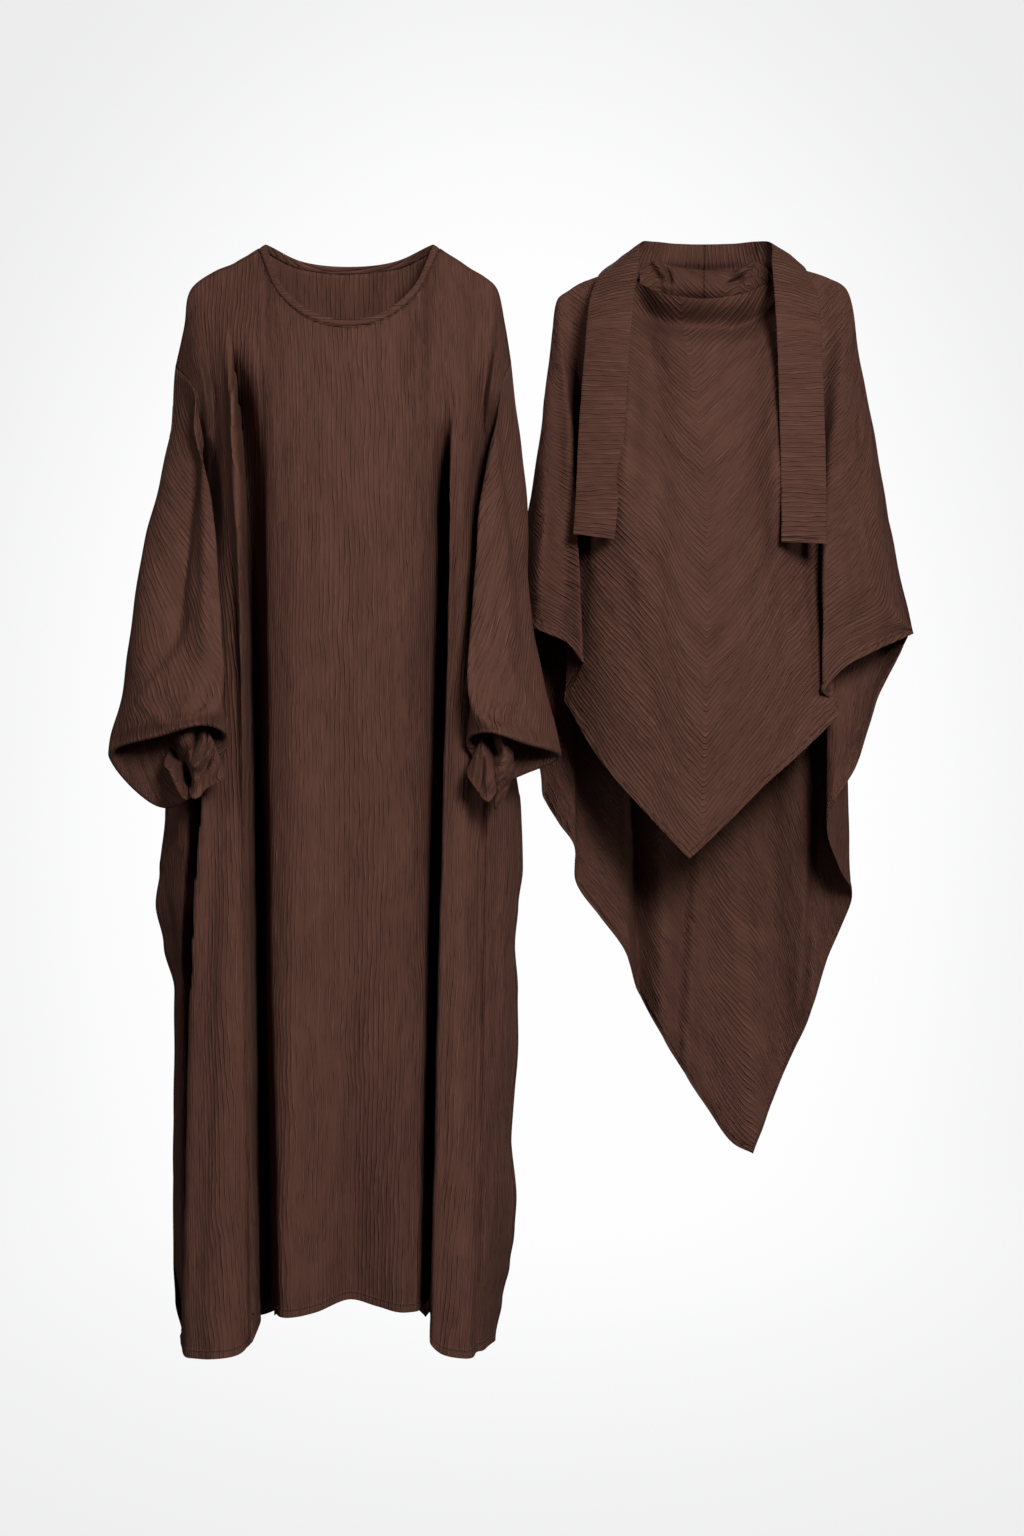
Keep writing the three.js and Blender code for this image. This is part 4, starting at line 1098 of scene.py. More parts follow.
def cuff(which):
    turns = np.arange(CUFF_AROUND + 1) / CUFF_AROUND
    points = np.array(CUFF_BOTTOM[which], float)
    bottom = spline(place(points), turns * len(points), closed=True)
    top = mouth_ring(which, turns, CUFF_TOP)
    down = np.linspace(0, 1, CUFF_ROWS + 1)[:, None, None]
    tube = mix(top[None], bottom[None], down**CUFF_BELLY)
    tube[..., 2] = mix(top[None, :, 2], bottom[None, :, 2], down[..., 0])
    grid = np.transpose(tube, (1, 0, 2))
    grid = towards_viewer(grid, CUFF_CREASES[which])
    node = f"dress_cuff_{which}"
    piece = cloth_piece(f"{node}_cloth", grid, CREPE, node, closed=True, flip=which == "left")
    return piece, grid


cuff_left, cuff_left_grid = cuff("left")
cuff_right, cuff_right_grid = cuff("right")
print("the cuffs are gathered to", 2 * MOUTH_HALF[0], "mm at their tops")

# %% [markdown]
# ## The neck binding
#
# A strip of the same crepe is folded over the raw neck edge and stitched down. Its section is a
# flattened loop, carried round the neck as one closed ring.

# %% The neck binding
BINDING_HEIGHT = 11 * MM
BINDING_THICKNESS = 3.4 * MM
BINDING_STITCH = 2 * MM
BINDING_AROUND = 20
BINDING_LEAN = (0.5, 1.5)  # inwards, at the middle of the neck and at its sides
BINDING_LEAN_TURN = 6  # the higher, the closer to the sides it leans
BINDING_OVERLAP = MM
NECK_EDGE_POINTS = 200
NECK_POINTS = 360
NECK_SMOOTHINGS = 6


def neck_edge(lines, shoulder_rows, count):
    """The top edge of a panel between its two shoulder seams."""
    left, right = shoulder_rows
    tops = np.stack([line[0] for line in lines])[left : len(lines) - right]
    return spline(tops, np.linspace(0, len(tops) - 1, count))


def neck_ring():
    front, back = (neck_edge(k, DRESS_SHOULDER_ROWS, NECK_EDGE_POINTS) for k in (front_lines, back_lines))
    whole = np.concatenate([front, back[-2:0:-1], front[:1]])
    even = by_length(whole, np.linspace(0, lengths_along(whole)[-1], NECK_POINTS + 1))
    for _ in range(NECK_SMOOTHINGS):
        even[:-1] = (even[:-1] + 0.5 * (np.roll(even[:-1], 1, 0) + np.roll(even[:-1], -1, 0))) / 2
    even[-1] = even[0]
    return even


def neck_directions(ring):
    centre = ring[:-1].mean(axis=0)
    inward = (centre - ring) * [1, 1, 0]
    inward /= np.linalg.norm(inward, axis=-1, keepdims=True)
    sideways = np.abs(ring[:, 0] - centre[0]) / np.abs(ring[:, 0] - centre[0]).max()
    lean = mix(BINDING_LEAN[0], BINDING_LEAN[1], sideways**BINDING_LEAN_TURN)[:, None]
    rise = inward * lean + [0, 0, 1]
    rise /= np.linalg.norm(rise, axis=-1, keepdims=True)
    along = np.gradient(ring, axis=0)
    along[0] = along[-1] = ring[1] - ring[-2]
    out = np.cross(rise, along)
    out /= np.linalg.norm(out, axis=-1, keepdims=True)
    return rise, out


def band_ring(ring, rise, out, height, thickness, angle):
    """A flattened loop of cloth carried along a ring."""
    up = 0.5 * height * (1 - np.cos(angle))
    swing = 0.5 * thickness * np.sign(np.sin(angle)) * np.abs(np.sin(angle)) ** 0.5
    return (
        ring[:, None]
        + rise[:, None] * up[None, :, None]
        + out[:, None] * swing[None, :, None]
    )


neck = neck_ring()
neck_rise, neck_out = neck_directions(neck)
binding_angle = np.linspace(0, 2 * np.pi, BINDING_AROUND + 1)
binding_grid = band_ring(
    neck - neck_rise * BINDING_OVERLAP, neck_rise, neck_out, BINDING_HEIGHT, BINDING_THICKNESS,
    binding_angle,
)
# The crepe paints seam shade along the binding's stitch line.
binding_seam = 0.5 * BINDING_HEIGHT * (1 - np.cos(binding_angle)) - BINDING_STITCH
binding = cloth_piece(
    "dress_neck_binding_tape", binding_grid, CREPE_TRIM, "dress_neck_binding", closed=True,
    thickness=None, from_seam=binding_seam[None],
)
print("the neck is", round(lengths_along(neck)[-1], 3), "m round")

# %% [markdown]
# ## The cape
#
# It is two bias-cut squares hung by a corner: each falls to a point, and the side corners cover the
# arms. Its fold lines run from the left wing tip to the right one.

# %% The cape's fold lines
CAPE_FRONT = [
    fold("left wing tip", (-250, -6, -462), (-250, -10, -468), (-249, -12, -476)),
    fold("left wing, outside", (-236, -6, -395), (-232, -30, -446), (-228, -38, -488)),
    fold("left wing, front", (-215, -8, -282), (-210, -52, -390), (-200, -62, -498)),
    fold("left wing, inside", (-200, -5, -160), (-189, -70, -339), (-175, -76, -509)),
    fold("left wing edge", (-188, 0, -70), (-167, -84, -288), (-155, -86, -534)),
    fold("left groove wall", (-182, 0, -63), (-165, -62, -288), (-163, -60, -553)),
    fold("left groove floor", (-174, 0, -58), (-160, -36, -285), (-178, -32, -579)),
    fold("left groove, inside", (-165, 0, -52), (-150, -50, -282), (-169, -46, -598)),
    fold("point, left edge", (-150, 0, -45), (-132, -85, -282), (-152, -66, -630)),
    fold("point, left swell", (-118, -2, -37), (-97, -104, -288), (-118, -88, -678)),
    fold("left neck", (-92, 4, -44), (-60, -114, -314), (-69, -98, -732)),
    fold("cowl, left", (-48, -50, -62), (-18, -118, -326), (-19, -106, -785)),
    fold("cowl, middle", (0, -62, -68), (23, -118, -326), (23, -100, -746)),
    fold("cowl, right", (48, -50, -62), (60, -112, -314), (82, -92, -687)),
    fold("right neck", (92, 4, -44), (90, -102, -301), (123, -80, -650)),
    fold("point, right edge", (120, -2, -32), (106, -85, -352), (156, -62, -618)),
    fold("right groove wall", (138, 0, -35), (124, -58, -344), (170, -54, -600)),
    fold("right groove floor", (159, 0, -42), (146, -42, -339), (167, -50, -586)),
    fold("right wing edge", (183, 0, -57), (156, -82, -339), (151, -80, -571)),
    fold("right wing, inside", (200, -4, -163), (184, -72, -365), (180, -70, -540)),
    fold("right wing, front", (223, -8, -285), (215, -52, -416), (212, -56, -522)),
    fold("right wing, outside", (248, -6, -411), (246, -28, -463), (242, -32, -508)),
    fold("right wing tip", (265, -5, -485), (266, -8, -490), (268, -8, -497)),
]
CAPE_BACK = [
    fold("left wing tip", None, (-251, 2, -470), (-252, 6, -482)),
    fold("left wing, outside", None, (-238, 26, -470), (-240, 26, -541)),
    fold("left wing, back", None, (-226, 48, -403), (-226, 32, -611)),
    fold("left wing, low", None, (-212, 60, -352), (-209, 30, -675)),
    fold("left swell", None, (-197, 70, -352), (-204, 46, -710)),
    fold("left furrow wall", None, (-184, 62, -403), (-187, 28, -739)),
    fold("left furrow", None, (-172, 46, -429), (-166, 22, -769)),
    fold("left column, outside", None, (-161, 54, -454), (-163, 42, -815)),
    fold("left column", None, (-143, 80, -480), (-133, 64, -859)),
    fold("left column, inside", None, (-110, 95, -506), (-100, 82, -905)),
    fold("left trough", None, (-82, 82, -531), (-82, 98, -960)),
    fold("middle, left", (-68, 44, -43), (-51, 90, -557), (-47, 80, -1024)),
    fold("middle", (0, 64, -38), (-5, 110, -582), (3, 102, -1103)),
    fold("point, left", (34, 57, -39), (20, 103, -584), (36, 98, -1149)),
    fold("back point", (68, 44, -43), (46, 94, -582), (63, 92, -1163)),
    fold("right column", None, (84, 105, -557), (103, 102, -1056)),
    fold("right trough", None, (113, 85, -531), (137, 76, -980)),
    fold("right swell", None, (138, 96, -506), (157, 90, -915)),
    fold("right edge", None, (178, 72, -480), (187, 62, -835)),
    fold("right lobe wall", None, (168, 36, -470), (172, 10, -797)),
    fold("right lobe", None, (162, 12, -500), (157, -26, -733)),
    fold("right wing, low", None, (196, 16, -500), (194, -14, -668)),
    fold("right wing, back", None, (232, 26, -500), (222, 20, -580)),
    fold("right wing tip", None, (262, 4, -498), (250, 10, -522)),
]
CAPE_SHOULDER_ROWS = (10, 8)
CAPE_YOKE = {"depth": 0.58, "drop": 0.09}
print(len(CAPE_FRONT), "fold lines on the cape's front and", len(CAPE_BACK), "on its back,")
print("from the", CAPE_FRONT[0]["name"], "to the", CAPE_FRONT[-1]["name"])

# %% The cape's lines
CAPE_LINE_STEPS = 600


def cape_yoke(top, middle):
    share = np.array([CAPE_YOKE["drop"], CAPE_YOKE["depth"], CAPE_YOKE["drop"]])
    return mix(np.array(top, float), np.array(middle, float), share)


def cape_lines(rows, over_the_shoulders):
    lines = []
    for row in rows:
        yoke = [cape_yoke(row["top"], row["middle"])] if over_the_shoulders else []
        stations = np.array([row["top"], *yoke, row["middle"], row["hem"]], float)
        line = spline(stations, np.linspace(0, len(stations) - 1, CAPE_LINE_STEPS + 1))
        lines.append(place_on_cape(line))
    return lines


cape_back_rows = share_shoulder(CAPE_BACK, CAPE_FRONT, CAPE_SHOULDER_ROWS)
print("the cape's first back line starts at", cape_lines(cape_back_rows, True)[0][0].round(3))

# %% [markdown]
# The chest hangs from the two shoulders and sags between them, the wings fall over the arms, and the
# long back runs down in columns. These folds and creases were read off the photograph one by one.

# %% The cape's folds
CAPE_FRONT_FOLDS = [
    ([(540, -50), (548, -150), (552, -240), (556, -420)], 32.0, 26),
    ([(372, -50), (362, -150), (354, -240), (346, -420)], 32.0, 26),
    ([(326, -66), (372, -84), (412, -94), (456, -98), (500, -96), (540, -86), (586, -66)], -44.0, 19),
    ([(562, -66), (536, -82), (504, -98), (470, -106)], -8.0, 6),
    ([(576, -96), (520, -136), (450, -152)], -4.0, 9),
    ([(254, -60), (246, -250), (242, -420), (240, -590)], 56.0, 21),
    ([(652, -60), (660, -250), (668, -420), (678, -590)], 26.0, 20),
    ([(356, -190), (396, -250), (450, -310)], -4.0, 14),
    ([(566, -170), (520, -240), (476, -290)], -4.0, 13),
]
CAPE_FRONT_CREASES = [
    ([(400, -330), (440, -520), (470, -700)], 3.0, 16),
    ([(520, -320), (540, -430), (566, -560)], -4.0, 12),
    ([(352, -400), (370, -520), (404, -640)], -3.0, 12),
    ([(450, -420), (476, -560), (470, -720)], -2.4, 16),
    ([(500, -460), (516, -560), (520, -640)], 2.8, 14),
    ([(270, -110), (262, -260), (236, -420)], -3.0, 8),
    ([(290, -180), (276, -330), (262, -480)], 3.0, 8),
    ([(640, -110), (650, -260), (690, -440)], -3.0, 8),
    ([(624, -150), (636, -330), (652, -500)], 2.8, 9),
    ([(662, -200), (676, -330), (700, -470)], 2.4, 9),
]
CAPE_BACK_FOLDS = [
    ([(326, -640), (332, -774), (344, -880)], 5.0, 14),
    ([(506, -640), (510, -838), (522, -1060)], -9.0, 11),
    ([(552, -600), (558, -820), (562, -960)], 6.0, 14),
    ([(620, -560), (625, -710), (627, -820)], 6.0, 9),
]
CAPE_BACK_PLEATS = [
    (
        [(348, -520), (353, -685), (362, -941), (374, -1100)],
        1, (20, 24), (50, 40), (3, 9), 12,
    ),
    (
        [(456, -620), (448, -774), (438, -915), (431, -1056), (428, -1160)],
        -1, (18, 20), (50, 34), (5, 9), 12,
    ),
    (
        [(590, -560), (588, -700), (584, -860), (572, -1000)],
        1, (14, 14), (24, 18), (2, 9), 8,
    ),
]
print(len(CAPE_FRONT_FOLDS) + len(CAPE_FRONT_CREASES), "folds and creases on the cape's front")

# %% The cape's front and back
BIAS_MIDDLE = 20 * MM
SHORTEST_HEMMED = 40 * MM  # near the wing tips the cloth is too short for a whole hem


def down_the_middle(grid):
    """UVs whose right side is mirrored, because the bias runs down to the middle from both sides."""
    uv = cloth_lengths(grid)
    uv[..., 0] = BIAS_MIDDLE - np.abs(uv[..., 0] - BIAS_MIDDLE)
    return uv


def cape_panel(node, rows, corners, size, folds, pleats, creases, turn, outward, crowding=1.0):
    left, right = CAPE_SHOULDER_ROWS
    is_front = outward < 0
    lines = cape_lines(rows, over_the_shoulders=not is_front)
    grid = panel(lines, *size, (left, len(rows) - 1 - right), corners, crowding)
    uv = down_the_middle(grid) if is_front else cloth_lengths(grid)
    grid = towards_viewer(grid, folds, pleats)
    grid = creased(
        grid, normals_of(grid) * outward, creases, swell_height=1.0, swell_length=90, turn=turn
    )
    length = lengths_along(grid, axis=1)[:, -1:]
    room = np.clip(length / SHORTEST_HEMMED, 0, 1)
    grid = grid + (normals_of(grid) * outward) * (hem_rise(from_hem(grid)) * room)[..., None]
    # Where the crepe paints seam shade: along the hem's stitch line, but not near the wing tips.
    from_seam = np.where(room < 1, NO_SEAM, from_hem(grid) - STITCH_LINE)
    piece = cloth_piece(
        f"{node}_cloth", grid, CREPE_BIAS, node, uv=uv, flip=is_front, from_seam=from_seam
    )
    return piece, grid


cape_front, cape_front_grid = cape_panel(
    "cape_front", CAPE_FRONT, corners=(4, 11, 18), size=(230, 180), folds=CAPE_FRONT_FOLDS, pleats=[],
    creases=CAPE_FRONT_CREASES, turn=0.3, outward=-1, crowding=1.35,
)
cape_back, cape_back_grid = cape_panel(
    "cape_back", cape_back_rows, corners=(14,), size=(240, 180), folds=CAPE_BACK_FOLDS,
    pleats=CAPE_BACK_PLEATS, creases=[], turn=1.1, outward=1,
)
print("the cape's back:", len(cape_back.data.polygons), "faces")

# %% [markdown]
# ## The cowl and the ties
#
# Inside the back of the neck a soft layer of cloth rises to a ridge and falls forward. Outside it
# stands the neck band: one strip, sewn from two halves at the centre back, whose ends are the ties.

# %% The cowl
COWL = [
    ((-82, 6, -30), (-84, -6, -54)),
    ((-66, 30, -20), (-62, 8, -70)),
    ((-38, 46, -27), (-36, 22, -80)),
    ((0, 52, -32), (0, 28, -84)),
    ((40, 46, -31), (36, 22, -80)),
    ((64, 30, -22), (62, 8, -70)),
    ((82, 6, -30), (84, -6, -54)),
]
COWL_GAP = 2.2 * MM
COWL_THICKNESS = 1.6 * MM
COWL_SEAM = CAPE_CENTRE - 0.5
COWL_REACH = (0.03, 0.97)  # the share of the neck edge that it is sewn to
COWL_EDGE_POINTS = 101
COWL_COLUMNS = 140
COWL_ROWS = 105
# How far in front of its ridge the cowl lies, and how far below it, at the middle of the neck.
COWL_PROFILE = [(-12, -3), (-21, -10), (-25, -19), (-22, -29), (-10, -38), (4, -46)]
COWL_FOLDS = [
    ([(384, -14), (398, -30), (407, -48)], 14.0, 5),
    ([(404, -24), (411, -38), (414, -54)], -12.0, 3),
    ([(528, -16), (508, -30), (488, -42)], 14.0, 5),
    ([(510, -40), (496, -46), (480, -50)], -10.0, 3),
]


def cowl():
    back_lines_of_cape = cape_lines(cape_back_rows, over_the_shoulders=True)
    edge = neck_edge(back_lines_of_cape, CAPE_SHOULDER_ROWS, COWL_EDGE_POINTS)
    sewn = by_length(edge, np.linspace(*COWL_REACH, COWL_COLUMNS + 1) * lengths_along(edge)[-1])
    sewn[:, 1] -= COWL_GAP
    ridge, fall = (np.array(line, float) for line in zip(*COWL))
    near_middle = np.clip(1 - np.abs(ridge[:, 0]) / np.abs(ridge[0, 0]), 0, 1) ** 0.5
    rolls = [ridge + np.outer(near_middle, [0, near, 0]) + [0, 0, down] for near, down in COWL_PROFILE]
    at = np.linspace(0, len(COWL) - 1, COWL_COLUMNS + 1)
    lines = [sewn] + [spline(place_on_cape(line), at) for line in (ridge, *rolls, fall)]
    tube = spline(np.stack(lines), np.linspace(0, len(lines) - 1, COWL_ROWS + 1))
    grid = towards_viewer(np.transpose(tube, (1, 0, 2)), COWL_FOLDS)
    # The crepe paints seam shade down the cowl's centre-back seam.
    from_seam = (elevation_of(grid)[..., 0] - COWL_SEAM) * MM
    piece = cloth_piece(
        "cape_cowl_cloth", grid, CREPE_BIAS, "cape_cowl", flip=True, thickness=COWL_THICKNESS,
        from_seam=from_seam,
    )
    return piece, grid


cowl_piece, cowl_grid = cowl()
print("the cowl:", len(cowl_piece.data.polygons), "faces")

# %% The ties
TIE_STATIONS = {
    "left": [
        ((0, 73.6, 1), (0, 72.6, -46)), ((-37, 66, 2), (-42, 63.8, -46.5)), ((-66, 44, 5), (-82, 44, -48)),
        ((-81, 10, 4), (-118, 12, -28)), ((-84, -26, -20), (-134, -22, -36)),
        ((-89, -68, -56), (-147, -58, -70)), ((-96, -104, -130), (-153, -90, -130)),
        ((-102, -124, -237), (-161, -108, -237)),
        ((-110, -130, -326), (-165, -118, -326)), ((-115, -132, -376), (-168, -121, -370)),
    ],
    "right": [
        ((0, 73.6, 1), (0, 72.6, -46)), ((37, 66, 2), (42, 65, -46.5)), ((66, 44, 5), (82, 44, -48)),
        ((86, 10, 4), (122, 12, -24)), ((87, -26, -20), (136, -22, -40)), ((90, -68, -56), (147, -58, -72)),
        ((94, -104, -130), (151, -92, -130)), ((97, -122, -237), (155, -112, -237)),
        ((99, -130, -326), (157, -120, -326)), ((99, -132, -380), (157, -122, -382)),
    ],
}
TIE_THICKNESS = 2.4 * MM
TIE_CROWN = 1.6 * MM
TIE_ROWS = 210
TIE_AROUND = 40
TIE_LINE_POINTS = 601
TIE_SQUARENESS = 0.4  # of its folded edges; 1 would be an ellipse
TIE_END = 0.0005  # the share of a tie's length that its end is rounded over
TIE_HEM = 6.5 * MM
BAND_FOLDS = [
    ([(384, -24), (420, -30), (456, -32), (494, -30), (528, -24)], -13.0, 5),
    ([(384, -2), (392, -12), (396, -26)], -5.0, 4),
    ([(526, -2), (519, -12), (514, -26)], -5.0, 4),
    ([(400, -14), (456, -10), (512, -14)], 2.0, 7),
]


def tie_edges(which, at):
    """The inner and outer edge of a band and its tie, at places counted in stations."""
    inner, outer = zip(*TIE_STATIONS[which])
    return spline(place_on_cape(inner), at), spline(place_on_cape(outer), at)


def tie(which):
    fine = np.linspace(0, len(TIE_STATIONS[which]) - 1, TIE_LINE_POINTS)
    inner, outer = tie_edges(which, fine)
    run = lengths_along((inner + outer) / 2)
    rows = np.linspace(4 * TIE_END, 1 - 4 * TIE_END, TIE_ROWS - 3)
    shares = np.concatenate([[0, TIE_END], rows, [1 - TIE_END, 1]])
    inner, outer = tie_edges(which, np.interp(shares, run / run[-1], fine))
    middle = (inner + outer) / 2
    run = lengths_along(middle)
    face = np.cross(outer - inner, np.gradient(middle, axis=0)) * (1 if which == "left" else -1)
    face[:2, 0] = 0  # the two halves of the band meet square at the centre back
    face /= np.linalg.norm(face, axis=-1, keepdims=True)
    angle = np.linspace(0, 2 * np.pi, TIE_AROUND + 1)
    across = 0.5 * (1 - np.cos(angle))
    depth = np.sign(np.sin(angle)) * np.abs(np.sin(angle)) ** TIE_SQUARENESS * TIE_THICKNESS / 2
    crown = TIE_CROWN * np.sin(across * np.pi) - TIE_THICKNESS / 2
    open_share = np.minimum(np.minimum(run, run[-1] - run) / (TIE_THICKNESS / 2), 1) ** 0.5
    flat = mix(inner[:, None], outer[:, None], across[None, :, None])
    grid = flat + face[:, None] * (depth * open_share[:, None] + crown)[..., None]
    wavy = swell(elevation_of(grid), height=0.7, length=34, turn=0.9) * MM
    grid = np.transpose(grid + face[:, None] * wavy[..., None], (1, 0, 2))
    grid = towards_viewer(grid, BAND_FOLDS)
    width = np.linalg.norm(outer - inner, axis=-1).mean()
    uv = np.stack(np.broadcast_arrays(across[:, None] * width, -run[None, :]), axis=-1)
    from_end = run[-1] - run - TIE_HEM
    # Where the crepe paints seam shade: the hem's stitch line near the tie's end, and the centre back, where
    # the band's halves meet.
    from_seam = np.where(from_end < 0.5 * run[-1], from_end, run - SEAM_SHADE / 2)
    node = f"cape_tie_{which}"
    piece = cloth_piece(
        f"{node}_cloth", grid, CREPE_TRIM, node, uv=uv, closed=True, flip=which == "right",
        thickness=None, from_seam=from_seam[None],
    )
    return piece, grid


tie_left, tie_left_grid = tie("left")
tie_right, tie_right_grid = tie("right")
print("a tie is", round(lengths_along(tie_left_grid[0])[-1], 2), "m long with its half of the band")

# %% [markdown]
# ## Stitches
#
# Every hem is held by a row of lockstitch in matching thread, each stitch 2.7 mm long and 3.8 mm from
# the next. A stitch is a tiny stretched ball that passes through the cloth, so it shows on both faces.
# There are thousands, so each has only twenty faces.

# %% The stitches
STITCH_SPACING = 3.8 * MM
STITCH = np.array([1.35, 0.34, 1.0]) * MM  # half its length, width and depth through the cloth
SLIT_STITCH_START = SLIT_TOP - 4


def thread():
    """Spun polyester thread: smoother than the crepe, so it catches a little light."""
    material = bpy.data.materials.new("spun polyester thread")
    material.use_nodes = True
    shader = material.node_tree.nodes["Principled BSDF"]
    shader.inputs["Base Color"].default_value = linear("#5a3b31")
    shader.inputs["Roughness"].default_value = 0.6
    return material


THREAD = thread()


def stitches(name, line, out, node):
    """A row of stitches along a line of points, each with the outward direction of the cloth there."""
    run = lengths_along(line)
    starts = np.arange(0.5 * STITCH_SPACING, run[-1], STITCH_SPACING)
    at = by_length(line, starts)
    ahead = by_length(line, starts + 0.5 * MM) - by_length(line, starts - 0.5 * MM)
    outward = np.stack([np.interp(starts, run, out[:, k]) for k in range(3)], axis=-1)
    bm = bmesh.new()
    for point, forward, up in zip(at, ahead, outward):
        forward = Vector(forward).normalized()
        side = Vector(up).cross(forward).normalized()
        up = forward.cross(side)
        turn = Matrix((forward * STITCH[0], side * STITCH[1], up * STITCH[2])).transposed().to_4x4()
        place_at = Matrix.Translation(Vector(point) - up * CLOTH_THICKNESS / 2)
        bmesh.ops.create_icosphere(bm, subdivisions=1, radius=1.0, matrix=place_at @ turn)
    piece = object_of(name, bm)
    piece.data.materials.append(THREAD)
    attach(piece, "root")
    return piece


def hem_line(grid, outward):
    """The points of a panel's stitch line, and the cloth's outward directions there. A column that is
    hardly longer than its hem is left out."""
    normals = normals_of(grid) * outward
    to_hem = from_hem(grid)
    long_enough = [i for i in range(grid.shape[0]) if to_hem[i, 0] > 1.5 * STITCH_LINE]
    point, out = [], []
    for i in long_enough:
        j = np.argmax(to_hem[i] < STITCH_LINE)
        share = (to_hem[i, j - 1] - STITCH_LINE) / (to_hem[i, j - 1] - to_hem[i, j])
        point.append(mix(grid[i, j - 1], grid[i, j], share))
        out.append(normals[i, j])
    return np.array(point), np.array(out)


def side_line(grid, side, outward):
    """The same beside a side edge, from the top of the slit down to the hem's stitches."""
    normals = normals_of(grid) * outward
    to_edge = from_side(grid, side)
    to_hem = from_hem(grid)
    seen = elevation_of(grid)
    point, out = [], []
    for j in range(grid.shape[1]):
        column = to_edge[:, j] if side == "left" else to_edge[::-1, j]
        i = np.argmax(column > STITCH_LINE)
        i = i if side == "left" else grid.shape[0] - 1 - i
        if seen[i, j, 1] < SLIT_STITCH_START and to_hem[i, j] > STITCH_LINE:
            point.append(grid[i, j])
            out.append(normals[i, j])
    return np.array(point), np.array(out)


threads = {"dress_front": [], "dress_back": [], "cape_front": [], "cape_back": []}
for node, grid, outward in (
    ("dress_front", front_grid, -1),
    ("dress_back", back_grid, 1),
    ("cape_front", cape_front_grid, -1),
    ("cape_back", cape_back_grid, 1),
):
    threads[node].append(stitches(f"{node}_hem_stitches", *hem_line(grid, outward), node))
    if node.startswith("dress"):
        for side in ("left", "right"):
            threads[node].append(
                stitches(f"{node}_{side}_slit_stitches", *side_line(grid, side, outward), node)
            )
print("rows of stitches:", sum(len(row) for row in threads.values()))

# %% [markdown]
# ## The studio
#
# The garments hang over a round white stage whose floor curves up into its wall, so every side view
# has the same plain ground. Like a sheet of paper lit from behind it glows evenly, a little brighter
# behind the garments. It is hidden from every ray but the camera's, so it throws no light on the cloth
# and the folds keep their depth.

# %% The stage
STAGE_FLOOR = -2.4
STAGE_FLOOR_RADIUS = 9.5
STAGE_BEND = 2.0
STAGE_WALL_TOP = 9.0
STAGE_BEND_STEPS = 12
STAGE_STEPS = 96
STAGE_CENTRE = (SIGHT[0] * MM, 0)
GLOW_CENTRE = (SIGHT[0] * MM, STAGE_FLOOR_RADIUS + STAGE_BEND, SIGHT[2] * MM)
GLOW_STRETCH = (1.45, 0.45, 1.0)  # the pool of light fades sooner to the sides, later along the floor
GLOW_REACH = (2.2, 5.0)


def stage():
    """A quarter-round profile, from the floor's middle to the wall's top, spun once round."""
    bm = bmesh.new()
    x, y = STAGE_CENTRE
    bend = np.linspace(0, np.pi / 2, STAGE_BEND_STEPS + 1)
    profile = [(0.0, 0.0)] + [
        (STAGE_FLOOR_RADIUS + STAGE_BEND * np.sin(a), STAGE_BEND * (1 - np.cos(a))) for a in bend
    ]
    profile.append((STAGE_FLOOR_RADIUS + STAGE_BEND, STAGE_WALL_TOP - STAGE_FLOOR))
    verts = [bm.verts.new((x + r, y, STAGE_FLOOR + h)) for r, h in profile]
    edges = [bm.edges.new(pair) for pair in zip(verts, verts[1:])]
    bmesh.ops.spin(
        bm, geom=verts + edges, cent=(x, y, 0), axis=(0, 0, 1), angle=2 * np.pi, steps=STAGE_STEPS,
        use_merge=True,
    )
    bmesh.ops.remove_doubles(bm, verts=bm.verts, dist=MM)
    bmesh.ops.recalc_face_normals(bm, faces=bm.faces)
    bowl = object_of("stage", bm)
    bowl.visible_diffuse = False
    bowl.visible_glossy = False
    bowl.visible_transmission = False
    bowl.visible_shadow = False
    return bowl


def glowing_paper():
    """Backlit white paper: near white in a wide pool behind the garments, pale grey further out."""
    material = bpy.data.materials.new("backlit white paper")
    material.use_nodes = True
    tree = material.node_tree
    tree.nodes.clear()
    where = add_node(tree, "ShaderNodeTexCoord")
    offset = add_node(
        tree,
        "ShaderNodeMapping",
        {"Location": tuple(-c * k for c, k in zip(GLOW_CENTRE, GLOW_STRETCH)), "Scale": GLOW_STRETCH},
        {"Vector": (where, "Object")},
    )
    distance = add_node(tree, "ShaderNodeVectorMath", {"operation": "LENGTH"}, {0: (offset, "Vector")})
    pool = add_node(
        tree,
        "ShaderNodeMapRange",
        {"interpolation_type": "SMOOTHSTEP", "From Min": GLOW_REACH[0], "From Max": GLOW_REACH[1]},
        {"Value": (distance, "Value")},
    )
    colour = add_node(
        tree,
        "ShaderNodeMix",
        {"data_type": "RGBA", "A": linear("#fefefe"), "B": linear("#ededee")},
        {"Factor": (pool, "Result")},
    )
    glow = add_node(tree, "ShaderNodeEmission", {"Strength": 1.0}, {"Color": (colour, "Result")})
    add_node(tree, "ShaderNodeOutputMaterial", links={"Surface": (glow, "Emission")})
    return material


bowl = stage()
bowl.data.materials.append(glowing_paper())
print("the stage is", 2 * (STAGE_FLOOR_RADIUS + STAGE_BEND), "m across")

# %% [markdown]
# ## The lights
#
# The right-hand sleeve is brighter than the left one and every groove is nearly black, so one main
# softbox stands in front on the right, above the camera. A weak one on each side brings out the
# crinkle and the outer sleeves. A soft light high at the back does the same for the views from behind.

# %% The lights


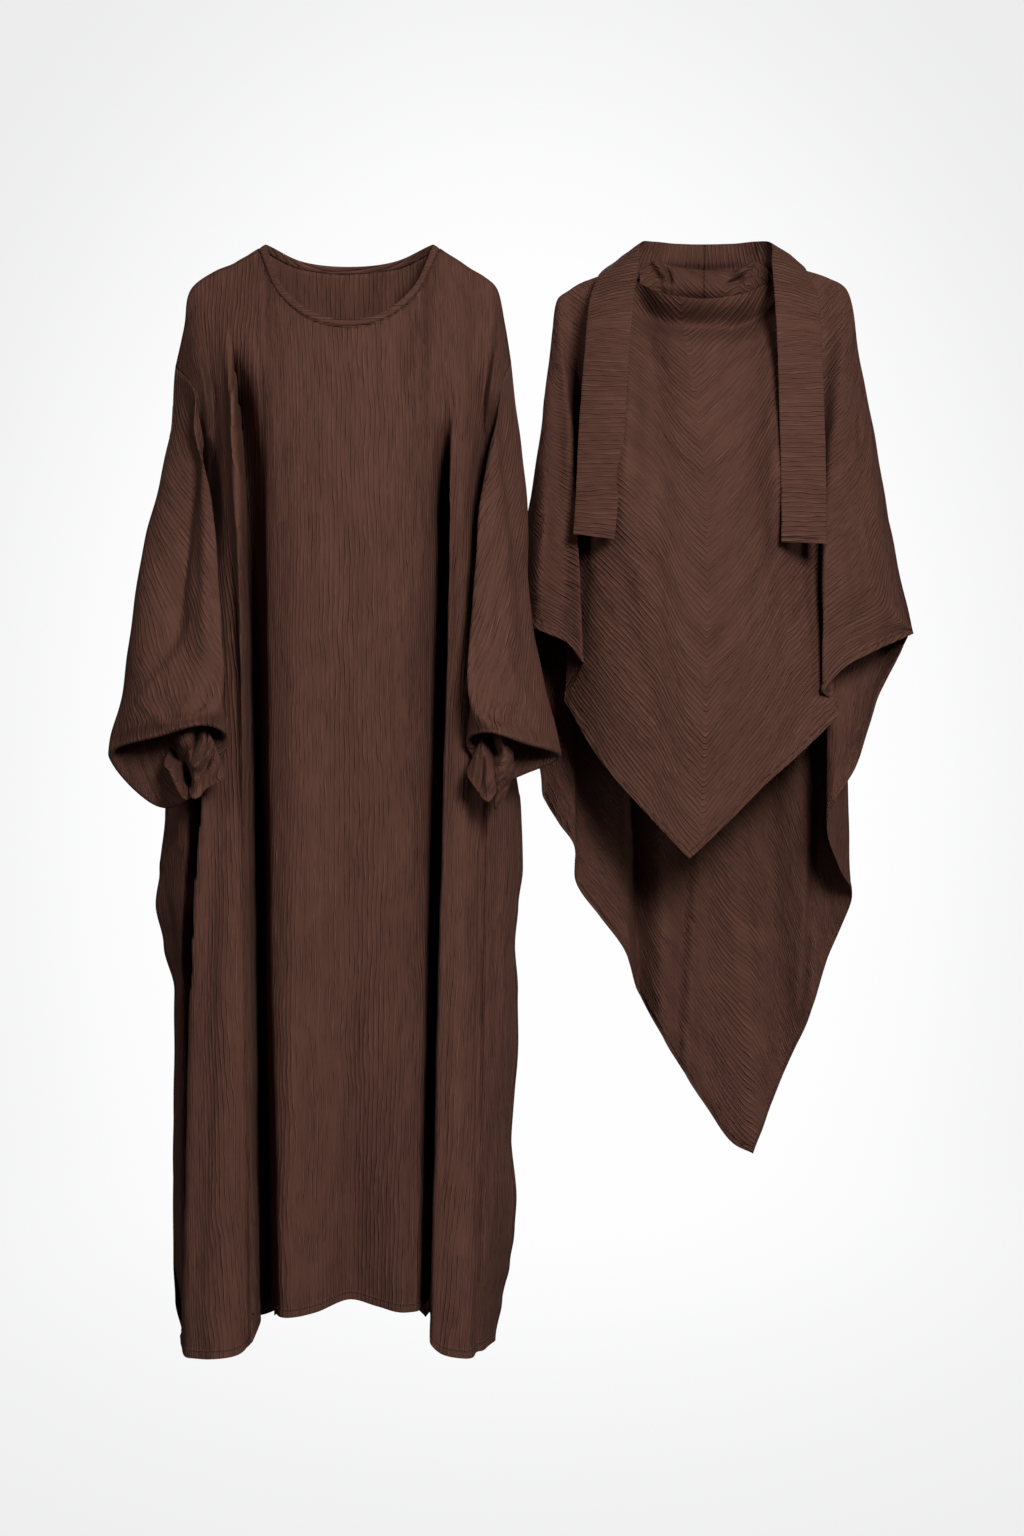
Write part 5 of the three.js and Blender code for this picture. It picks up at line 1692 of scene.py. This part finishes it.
def softbox(name, at, aim, size, watts):
    light = bpy.data.lights.new(name, "AREA")
    light.shape = "RECTANGLE"
    light.size, light.size_y = size
    light.energy = watts
    lamp = bpy.data.objects.new(name, light)
    lamp.location = at
    lamp.rotation_euler = (Vector(aim) - Vector(at)).to_track_quat("-Z", "Y").to_euler()
    bpy.context.scene.collection.objects.link(lamp)
    return lamp


softbox("key", at=(1.3, -3.75, 0.9), aim=(0.2, 0, -0.65), size=(0.9, 1.1), watts=158)
softbox("right side", at=(3.5, -1.7, 0.3), aim=(0.3, 0, -0.7), size=(1.0, 2.0), watts=22)
softbox("left side", at=(-2.6, -2.8, 0.2), aim=(0.0, 0, -0.7), size=(1.0, 2.0), watts=26)
softbox("back", at=(0.4, 4.6, 1.8), aim=(0.2, 0, -0.6), size=(2.6, 1.8), watts=150)

world = bpy.data.worlds.new("studio")
world.use_nodes = True
background = world.node_tree.nodes["Background"]
background.inputs["Color"].default_value = linear("#ffffff")
background.inputs["Strength"].default_value = 0.05
bpy.context.scene.world = world
bpy.context.scene.view_settings.view_transform = "Standard"
print("four softboxes and a dim white world")

# %% [markdown]
# ## What the cloth is
#
# The cuffs and the ties have the sizes they were cut to worked out from their sheets, and printed.


def cut_size(grid):
    """The widest row and the longest column of a sheet, and its area, in metres."""
    width = float(lengths_along(grid, axis=0)[-1].max())
    length = float(lengths_along(grid, axis=1)[:, -1].max())
    u, v = np.diff(grid, axis=0)[:, :-1], np.diff(grid, axis=1)[:-1]
    return width, length, float(np.linalg.norm(np.cross(u, v), axis=-1).sum())


# %% [markdown]
# A cuff is cut a fifth wider than it is seen, and gathered. The binding and the ties are strips folded
# double, so each tie is printed at its finished width.

CUFF_FULLNESS = 1.2
for piece, grid, node in (
    (cuff_left, cuff_left_grid, "dress_sleeve_left"),
    (cuff_right, cuff_right_grid, "dress_sleeve_right"),
):
    _, length, area = cut_size(grid)
    width = CUFF_FULLNESS * area / length
    print(piece.name, "is cut", round(width, 3), "by", round(length, 3), "m")

for piece, grid in ((tie_left, tie_left_grid), (tie_right, tie_right_grid)):
    girth, length, area = cut_size(grid)
    width = girth / 2
    area = min(area / 2, width * length)
    print(piece.name, "is", round(width, 3), "by", round(length, 3), "m when finished")
